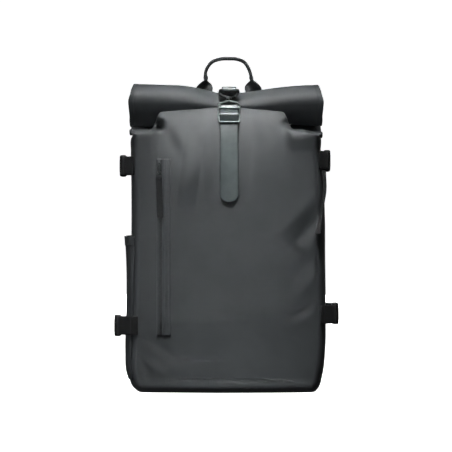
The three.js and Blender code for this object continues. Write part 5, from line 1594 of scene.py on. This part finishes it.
def slider_parts():
    """The slider, from its top down, and out from the tape"""
    body = np.array([[-0.35, 0], [0.5, 0], [1, -0.3], [0.9, -0.82], [-1, -0.82], [-0.9, -0.6]])
    body_line = rounded(body * [SLIDER_WIDTH / 2, SLIDER_LENGTH], 2.2, 5)
    parts = [raised(plate(body_line, 2.6, 0.8), 1.3)]
    for share in (-0.72, -0.56):
        half, up = 0.4 * SLIDER_WIDTH, share * SLIDER_LENGTH
        ridge = rounded([[-half, up], [half, up], [half, up - 1.3], [-half, up - 1.3]], 0.6, 3)
        parts.append(raised(plate(ridge, 1.4, 0.5), 3.1))
    bridge = np.array([[0, -0.12, 2.2], [0, -0.16, 4.2], [0, -0.3, 4.9], [0, -0.5, 4.6], [0, -0.62, 2.4]])
    parts.append(wire(smooth_line(bridge * [1, SLIDER_LENGTH, 1], 0.6), 0.9, sides=10))
    loop = np.array([
        [-3.4, -0.66, 3.6], [-3.6, -0.9, 3.8], [-3.0, -1.02, 3.4],
        [3.0, -1.02, 3.4], [3.6, -0.9, 3.8], [3.4, -0.66, 3.6],
    ])
    parts.append(wire(rounded(loop * [1, SLIDER_LENGTH, 1], 1.2, 4), 0.7, closed=True, sides=10))
    return together(*parts)


slider_top = ZIP_TOP - 0.3 * SLIDER_LENGTH
slider = hung(slider_parts(), slider_top, SLIDER_LENGTH, 2 * SEAM_GAP)
dress(piece("slider", *slider[:2], HOOK_METAL, crease=PLASTIC_CREASE), "gunmetal", "zip_slider")

tab_top = slider_top - SLIDER_LENGTH - 2 * SEAM_GAP
tab_line = rounded([[-TAB_WIDTH / 2, 2.2], [TAB_WIDTH / 2, 2.2], [TAB_WIDTH / 2 + 2.0, -TAB_LENGTH],
                    [-TAB_WIDTH / 2 + 2.2, -TAB_LENGTH]], 1.6, 5)
tab = hung(plate(tab_line, TAB_THICK, 0.7), tab_top, TAB_LENGTH, SLIDER_THICK / 2)
dress(piece("puller_tab", *tab[:2], BINDING, tab[2], crease=METAL_CREASE), "webbing", "zip_puller")

# %% [markdown]
# ## The back
# The pad and the shoulder straps are foam covered with knitted mesh. The picture doesn't show them, so they
# are plain. Each starts a little too slim, gets an even mesh and is blown up by a short cloth simulation,
# which rounds it as stuffing does. Their seams are worked in afterwards.

# %% Stuffing
VOXEL, PRESSURE, SWELL_FRAMES = 5.0, 4.0, 20


def baked(made, kind, **settings):
    """The object with one more modifier worked into its mesh"""
    modifier = made.modifiers.new("shape", kind)
    for name, value in settings.items():
        setattr(modifier, name, value)
    graph = bpy.context.evaluated_depsgraph_get()
    mesh = bpy.data.meshes.new_from_object(made.evaluated_get(graph))
    made.modifiers.clear()
    made.data = mesh
    return made


def points_of(mesh):
    """The mesh's points in millimetres"""
    points = np.zeros(len(mesh.vertices) * 3)
    mesh.vertices.foreach_get("co", points)
    return points.reshape(-1, 3) / MM


def stuffed(part, cap):
    """Points and faces of a closed form that was blown up as cloth, no point by more than the cap"""
    work = baked(piece("rough", *part[:2], AIR_MESH), "REMESH", mode="VOXEL", voxel_size=VOXEL * MM)
    cloth = work.modifiers.new("stuffing", "CLOTH")
    cloth.settings.use_pressure = True
    cloth.settings.uniform_pressure_force = PRESSURE
    cloth.settings.effector_weights.gravity = 0
    for number in range(1, SWELL_FRAMES + 1):
        bpy.context.scene.frame_set(number)
    slim = points_of(work.data)
    push = points_of(work.evaluated_get(bpy.context.evaluated_depsgraph_get()).data) - slim
    push *= np.minimum(1, cap / np.maximum(np.linalg.norm(push, axis=1, keepdims=True), 1e-6))
    work.modifiers.clear()
    work.data.vertices.foreach_set("co", ((slim + push) * MM).ravel())
    bpy.context.scene.frame_set(1)
    work = baked(work, "SUBSURF", levels=1, render_levels=1)
    faces = [list(polygon.vertices) for polygon in work.data.polygons]
    points = points_of(work.data)
    bpy.data.objects.remove(work)
    return points, faces


print("stuffing:", SWELL_FRAMES, "frames at a mesh size of", VOXEL, "mm")

# %% [markdown]
# The pad lies on the bag's back with its flat side, so only its outer side gets the groove of its seam,
# and no point may sink into the cloth behind it.


# %% Back pad
PAD_WIDTH, PAD_THICK, PAD_FOOT, PAD_TOP = 270.0, 12.0, 45.0, BODY_HEIGHT - 46
PAD_CORNER, PAD_SEAM, PAD_SWELL = 24.0, 13.0, 3.5
GROOVE_DEPTH, GROOVE_WIDTH = 2.6, 3.2
pad_y = BACK_Y + SEAM_GAP
pad_middle = (PAD_FOOT + PAD_TOP) / 2
pad_half = np.array([PAD_WIDTH, PAD_TOP - PAD_FOOT]) / 2


def from_pad_edge(points):
    """Distance in from the pad's outline"""
    past = np.abs(points[:, [0, 2]] - [0, pad_middle]) - (pad_half - PAD_CORNER)
    return PAD_CORNER - np.linalg.norm(np.maximum(past, 0), axis=1) - np.minimum(past.max(axis=1), 0)


def pad_outline(inset):
    """The pad's outline as X and height, drawn in by an inset"""
    half, low, high = pad_half[0] - inset, PAD_FOOT + inset, PAD_TOP - inset
    corners = [[-half, low], [half, low], [half, high], [-half, high]]
    return smooth_line(rounded(corners, 1.6 * (PAD_CORNER - 0.5 * inset), 7), 6, closed=True)


slim_pad = plate(pad_outline(PAD_SWELL), PAD_THICK - PAD_SWELL, 3.5)
slim_pad = slim_pad[0][:, [0, 2, 1]] + [0, pad_y + (PAD_THICK - PAD_SWELL) / 2, 0], slim_pad[1]
points, faces = stuffed(slim_pad, PAD_SWELL)
behind = ease(pad_y + 3, pad_y + 6, points[:, 1])
points[:, 1] -= behind * GROOVE_DEPTH * np.exp(-(((from_pad_edge(points) - PAD_SEAM) / GROOVE_WIDTH) ** 2))
points[:, 1] = np.maximum(points[:, 1], pad_y)
pad_cloth = dress(piece("pad_cloth", points, faces, AIR_MESH), "padding", "back_pad")

# %% [markdown]
# Each shoulder strap leaves the pad's top, bows out and comes down to its adjuster. Its mesh is loose
# after the stuffing, so the nearest place on its middle line tells each point where the seams run.


# %% Shoulder straps
SHOULDER_WIDTH, SHOULDER_THICK, SHOULDER_SEAM, SHOULDER_SWELL = 58.0, 10.0, 7.0, 2.0
SHOULDER_FOOT, SHOULDER_TOP, SHOULDER_BOW = 166.0, PAD_TOP + 16, 21.0
# Down the strap: out from the middle, away from the pad, and height, as shares
SHOULDER_ROWS = np.array([
    [0.36, -0.1, 0.985],
    [0.365, 0.32, 1.0],
    [0.375, 0.78, 0.97],
    [0.41, 1.1, 0.86],
    [0.46, 1.25, 0.68],
    [0.52, 1.25, 0.45],
    [0.58, 1.12, 0.22],
    [0.64, 0.85, 0.0],
])


def shoulder_stops(side):
    """The strap's middle line, from the pad's top down to its foot"""
    out, away, up = SHOULDER_ROWS.T
    x = side * out * PAD_WIDTH / 2
    y = pad_y + PAD_THICK + away * SHOULDER_BOW
    return np.stack([x, y, SHOULDER_FOOT + (SHOULDER_TOP - SHOULDER_FOOT) * up], axis=1)


def beside_line(points, line):
    """How far along a line of the strap each point lies, how far to its right, and how far out"""
    nearest = np.array([int(((line - p) ** 2).sum(axis=1).argmin()) for p in points])
    along = unit(np.gradient(line, axis=0))
    outward = unit(np.cross(along, [1.0, 0, 0]))
    across = np.cross(outward, along)
    off = points - line[nearest]
    run = lengths_along(line)[nearest] + (off * along[nearest]).sum(axis=1)
    return run, (off * across[nearest]).sum(axis=1), (off * outward[nearest]).sum(axis=1), outward[nearest]


shoulder_cloths = {}
for word, side in (("left", -1), ("right", 1)):
    line = smooth_line(shoulder_stops(side), 3.0)
    slim_wide, slim_thick = SHOULDER_WIDTH - 2 * SHOULDER_SWELL, SHOULDER_THICK - 2 * SHOULDER_SWELL
    points, faces = stuffed(strap(line[2:-1], (1, 0, 0), slim_wide, slim_thick, 13), SHOULDER_SWELL)
    run, across, out, outward = beside_line(points, line)
    seam = np.exp(-(((SHOULDER_WIDTH / 2 - np.abs(across) - SHOULDER_SEAM) / 2.6) ** 2))
    points -= outward * (1.4 * np.sign(out) * np.minimum(1, np.abs(out) / 2) * seam)[:, None]
    made = piece(f"shoulder_cloth_{word}", points, faces, AIR_MESH, np.stack([across, run], axis=1))
    dress(made, "padding", f"shoulder_strap_{word}")
    shoulder_cloths[word] = (made, line)

# %% [markdown]
# A ladder lock holds the lower webbing by friction: it comes in behind one bar, wraps the middle one and
# hangs out in front. The other end is sewn to the bag beside the pad's foot.


# %% Adjusters and lower webbing
LADDER_WIDTH, LADDER_HEIGHT, LADDER_THICK, LADDER_BAR = WEB_WIDTH + 8, 30.0, 5.0, 5.0
LADDER_RAIL, SEWN_SHARE = 3.4, 0.349


def box_line(x0, up0, x1, up1, radius):
    return rounded([[x0, up0], [x1, up0], [x1, up1], [x0, up1]], radius, 4)


def ladder_parts():
    """A ladder lock: two rails and three bars, with a lip to lift it by"""
    w, h = LADDER_WIDTH / 2, LADDER_HEIGHT / 2
    parts = []
    for side in (-1, 1):
        near, far = sorted((side * w, side * (w - LADDER_RAIL)))
        parts.append(plate(box_line(near, -h, far, h, 1.5), LADDER_THICK, 1.2))
    for middle in (-h + LADDER_BAR / 2, 0, h - LADDER_BAR / 2):
        bar = box_line(-w + 1.2, middle - LADDER_BAR / 2 + 0.1, w - 1.2, middle + LADDER_BAR / 2 - 0.1, 1.2)
        parts.append(plate(bar, LADDER_THICK - 0.6, 1.5))
    return together(*parts)


front_off = LADDER_THICK / 2 + WEB_THICK / 2 + 1.5 * SEAM_GAP
bar_off = LADDER_BAR / 2 + WEB_THICK / 2 + 2 * SEAM_GAP
# Down from the buckle's middle, and out from it, as lengths and shares of the standoff
THROUGH_LADDER = [
    (LADDER_HEIGHT * 2.2, 2.0), (LADDER_HEIGHT / 2, 1.0), (-LADDER_BAR * 0.55, 1.0),
    (-bar_off - SEAM_GAP, 0.55), (-bar_off - SEAM_GAP, -0.55), (-LADDER_BAR * 0.55, -1.0),
    (LADDER_HEIGHT * 0.62, -1.0),
]
# Round the pad's foot down to the sewn end: Y and Z
TO_BODY = [
    (pad_y + PAD_THICK + 1.3 * WEB_THICK, PAD_FOOT + 0.7 * PAD_THICK),
    (pad_y + PAD_THICK - 0.8 * WEB_THICK, PAD_FOOT - 0.25 * PAD_THICK),
    (BACK_Y + WEB_THICK, PAD_FOOT - 1.15 * PAD_THICK),
    (BACK_Y + SEAM_GAP + WEB_THICK / 2, PAD_FOOT - 2.3 * PAD_THICK),
]
for word, side in (("left", -1), ("right", 1)):
    stops = shoulder_stops(side)
    down = unit(stops[-1] - stops[-2])
    turn = Vector((0, 0, -1)).rotation_difference(Vector(down))
    across, outward = np.array(turn @ Vector((1, 0, 0))), np.array(turn @ Vector((0, 1, 0)))
    middle = stops[-1] + down * (LADDER_HEIGHT / 2 + SEAM_GAP)
    points, faces, _ = ladder_parts()
    points = middle + points[:, :1] * across - points[:, 1:2] * down + points[:, 2:] * outward
    ladder = piece(f"ladder_lock_{word}", points, faces, PLASTIC, crease=PLASTIC_CREASE)
    dress(ladder, "plastic", f"shoulder_adjuster_{word}")
    places = [[*(middle + down * far + outward * share * front_off), *across]
              for far, share in THROUGH_LADDER]
    places += [[side * SEWN_SHARE * BODY_WIDTH, y, z, 1, 0, 0] for y, z in TO_BODY]
    line = smooth_line(places, 1.6)
    band(f"lower_webbing_{word}", line[:, :3], line[:, 3:], WEB_WIDTH, WEB_THICK, WEBBING,
         "webbing", f"shoulder_webbing_{word}")

# %% [markdown]
# ## Stitches and zip teeth
# Geometry nodes repeat one stitch along every seam and one tooth along the zip. A line's points carry the
# way out of the cloth, so each item stands square to the line and to the surface under it.


# %% Repeats along lines
def repeat_tree():
    tree = bpy.data.node_groups.new("repeat along lines", "GeometryNodeTree")
    sockets = {}
    inputs = (("Lines", "Geometry"), ("Item", "Object"), ("Spacing", "Float"), ("Material", "Material"))
    for name, kind in inputs:
        made = tree.interface.new_socket(name, in_out="INPUT", socket_type=f"NodeSocket{kind}")
        sockets[name] = made.identifier
    tree.interface.new_socket("Repeats", in_out="OUTPUT", socket_type="NodeSocketGeometry")
    nodes = {}
    for name, kind in (
        ("in", "NodeGroupInput"), ("out", "NodeGroupOutput"), ("curve", "GeometryNodeMeshToCurve"),
        ("even", "GeometryNodeResampleCurve"), ("item", "GeometryNodeObjectInfo"),
        ("place", "GeometryNodeInstanceOnPoints"), ("along", "GeometryNodeInputTangent"),
        ("outward", "GeometryNodeInputNamedAttribute"), ("turn", "FunctionNodeAlignRotationToVector"),
        ("tip", "FunctionNodeAlignRotationToVector"), ("real", "GeometryNodeRealizeInstances"),
        ("finish", "GeometryNodeSetMaterial"),
    ):
        nodes[name] = tree.nodes.new(kind)
    nodes["even"].mode = "LENGTH"
    nodes["outward"].data_type = "FLOAT_VECTOR"
    nodes["outward"].inputs["Name"].default_value = "outward"
    nodes["turn"].axis = "X"
    nodes["tip"].axis = "Z"
    nodes["tip"].pivot_axis = "X"
    for start, output, end, socket in (
        ("in", "Lines", "curve", "Mesh"), ("curve", "Curve", "even", "Curve"),
        ("in", "Spacing", "even", "Length"), ("even", "Curve", "place", "Points"),
        ("in", "Item", "item", "Object"), ("item", "Geometry", "place", "Instance"),
        ("along", "Tangent", "turn", "Vector"),
        ("turn", "Rotation", "tip", "Rotation"), ("outward", "Attribute", "tip", "Vector"),
        ("tip", "Rotation", "place", "Rotation"), ("place", "Instances", "real", "Geometry"),
        ("real", "Geometry", "finish", "Geometry"), ("in", "Material", "finish", "Material"),
        ("finish", "Geometry", "out", "Repeats"),
    ):
        tree.links.new(nodes[start].outputs[output], nodes[end].inputs[socket])
    return tree, sockets


REPEAT, REPEAT_SOCKETS = repeat_tree()


def repeated(name, lines, item, spacing, finish):
    """One mesh of an item repeated along lines, whose rows hold a place in millimetres and the way out"""
    mesh = bpy.data.meshes.new(name)
    rows = np.concatenate(lines)
    ends = np.cumsum([len(line) for line in lines])
    edges = [[i, i + 1] for i in range(len(rows) - 1) if i + 1 not in ends]
    mesh.from_pydata((rows[:, :3] * MM).tolist(), edges, [])
    mesh.attributes.new("outward", "FLOAT_VECTOR", "POINT").data.foreach_set("vector", rows[:, 3:].ravel())
    made = bpy.data.objects.new(name, mesh)
    bpy.context.scene.collection.objects.link(made)
    modifier = made.modifiers.new("repeats", "NODES")
    modifier.node_group = REPEAT
    for socket, value in (("Item", item), ("Spacing", spacing * MM), ("Material", finish)):
        modifier[REPEAT_SOCKETS[socket]] = value
    made.update_tag()
    graph = bpy.context.evaluated_depsgraph_get()
    result = bpy.data.meshes.new_from_object(made.evaluated_get(graph))
    made.modifiers.clear()
    made.data = result
    result.shade_smooth()
    return made


def on_piece(made, guide):
    """The places of a piece that are nearest to a guide line, with the way out of it there"""
    found = [made.closest_point_on_mesh(Vector(place) * MM) for place in guide]
    return np.array([[*(at / MM), *way] for _, at, way, _ in found])


print("repeat tree:", len(REPEAT.nodes), "nodes")

# %% [markdown]
# The stitches run along the roll's hems, the pocket's hem, the welt, the pad and the shoulder straps. Each
# guide line is drawn near its seam, and the nearest places on the finished piece carry it on to the cloth.


# %% Stitches
STITCH, STITCH_STEP = 2.6, 3.5
WELT_SEAM_X, HEM_SEAM = -98.5, POCKET_HEM - 2.5


def stitch_item():
    """One stitch: a short thread that dips into the cloth at both ends"""
    t = np.linspace(-1, 1, 5)
    line = np.column_stack([t * STITCH / 2, 0 * t, 0.28 - 0.5 * t**4])
    return piece("stitch", *wire(line, 0.36, sides=5)[:2], THREAD)


stitch = stitch_item()
outer_turn = collar_places < COLLAR_KNOTS[12]
collar_normals = grid_normals(collar_grid, closed=False)
collar_face = collar_grid + collar_normals * COLLAR_THICK / 2
seams = [on_piece(roll_cloth, collar_face[outer_turn, column]) for column in (3, 7, -4, -8)]
pocket_cloth = bpy.data.objects["pocket_cloth"]
from_mouth = (POCKET_TOP - POCKET_FOOT) * (1 - pocket_shares)
hem_row = int(np.abs(from_mouth - HEM_SEAM).argmin())
seams.append(on_piece(pocket_cloth, np.array(pocket_out)[hem_row, 2:-2]))
welt_cloth = bpy.data.objects["welt_cloth"]
welt_heights = np.linspace(ZIP_FOOT + 2, ZIP_TOP - 2, 90)
welt_guide = [off_cloth(-1, column_at(WELT_SEAM_X, z), z, 3.0) for z in welt_heights]
seams.append(on_piece(welt_cloth, welt_guide))
pad_guide = np.array([[x, pad_y + PAD_THICK, z] for x, z in pad_outline(PAD_SEAM)])
seams.append(on_piece(pad_cloth, np.concatenate([pad_guide, pad_guide[:1]])))
for made, line in shoulder_cloths.values():
    outward = unit(np.cross(unit(np.gradient(line, axis=0)), [1.0, 0, 0]))
    seam_x = SHOULDER_WIDTH / 2 - SHOULDER_SEAM
    for across in (-1, 1):
        for out in (-1, 1):
            guide = line + outward * out * SHOULDER_THICK / 2 + [across * seam_x, 0, 0]
            seams.append(on_piece(made, guide[4:-3]))
stitches = repeated("stitches", seams, stitch, STITCH_STEP, THREAD)
dress(stitches, "webbing")

# %% [markdown]
# The coil lies on the cloth between the welt and the lip, so its guide line is laid on the body. Its teeth
# are turns of a thin coil, and one small arch for each is enough at this size.


# %% Zip teeth
TOOTH_STEP, COIL_X = 2.2, -104.8


def tooth_item():
    """One turn of the zip's coil: a small arch across the line"""
    arch = [[0, -1.9, -0.2], [0.1, -1.5, 0.8], [0.5, 0.2, 1.0], [0.9, 1.6, 0.7], [1.0, 1.9, -0.2]]
    return piece("tooth", *wire(rounded(arch, 0.5, 3, closed=False), 0.5, sides=6)[:2], PLASTIC)


tooth = tooth_item()
coil_heights = np.linspace(ZIP_FOOT + 1, ZIP_TOP - 3, 110)
coil_line = [on_piece(body_cloth, [off_cloth(-1, column_at(COIL_X, z), z, 0.5) for z in coil_heights])]
zip_teeth = repeated("zip_teeth", coil_line, tooth, TOOTH_STEP, COIL)
dress(zip_teeth, "plastic")
for item in (stitch, tooth):
    bpy.data.objects.remove(item)

# %% [markdown]
# ## Ground
# The floor is a plain white sheet that curves up far behind the bag. It glows a little, so that it stays
# white without more lamps, and it's hidden from the bag's own light and reflections.

# %% Floor and backdrop
SHEET_START, SHEET_BEND, SHEET_REACH = 6500.0, 2500.0, 9000.0
bend = np.radians(np.linspace(0, 90, 25))
sheet_line = [[-SHEET_REACH, 0.0]]
sheet_line += [[SHEET_START + math.sin(a) * SHEET_BEND, SHEET_BEND * (1 - math.cos(a))] for a in bend]
sheet_line += [[SHEET_START + SHEET_BEND, SHEET_REACH]]
sheet_points = np.array([[x, y, z] for y, z in sheet_line for x in (-SHEET_REACH, SHEET_REACH)])
paper = Finish("white paper", Base_Color=(0.85, 0.85, 0.85, 1), Roughness=0.9, Specular_IOR_Level=0.1,
               Emission_Color=(1, 1, 1, 1), Emission_Strength=1.0).material
sheet = piece("backdrop", sheet_points, grid_quads(len(sheet_line), 2), paper)
sheet.visible_diffuse = False
sheet.visible_glossy = False
print("backdrop:", len(sheet.data.polygons), "faces")
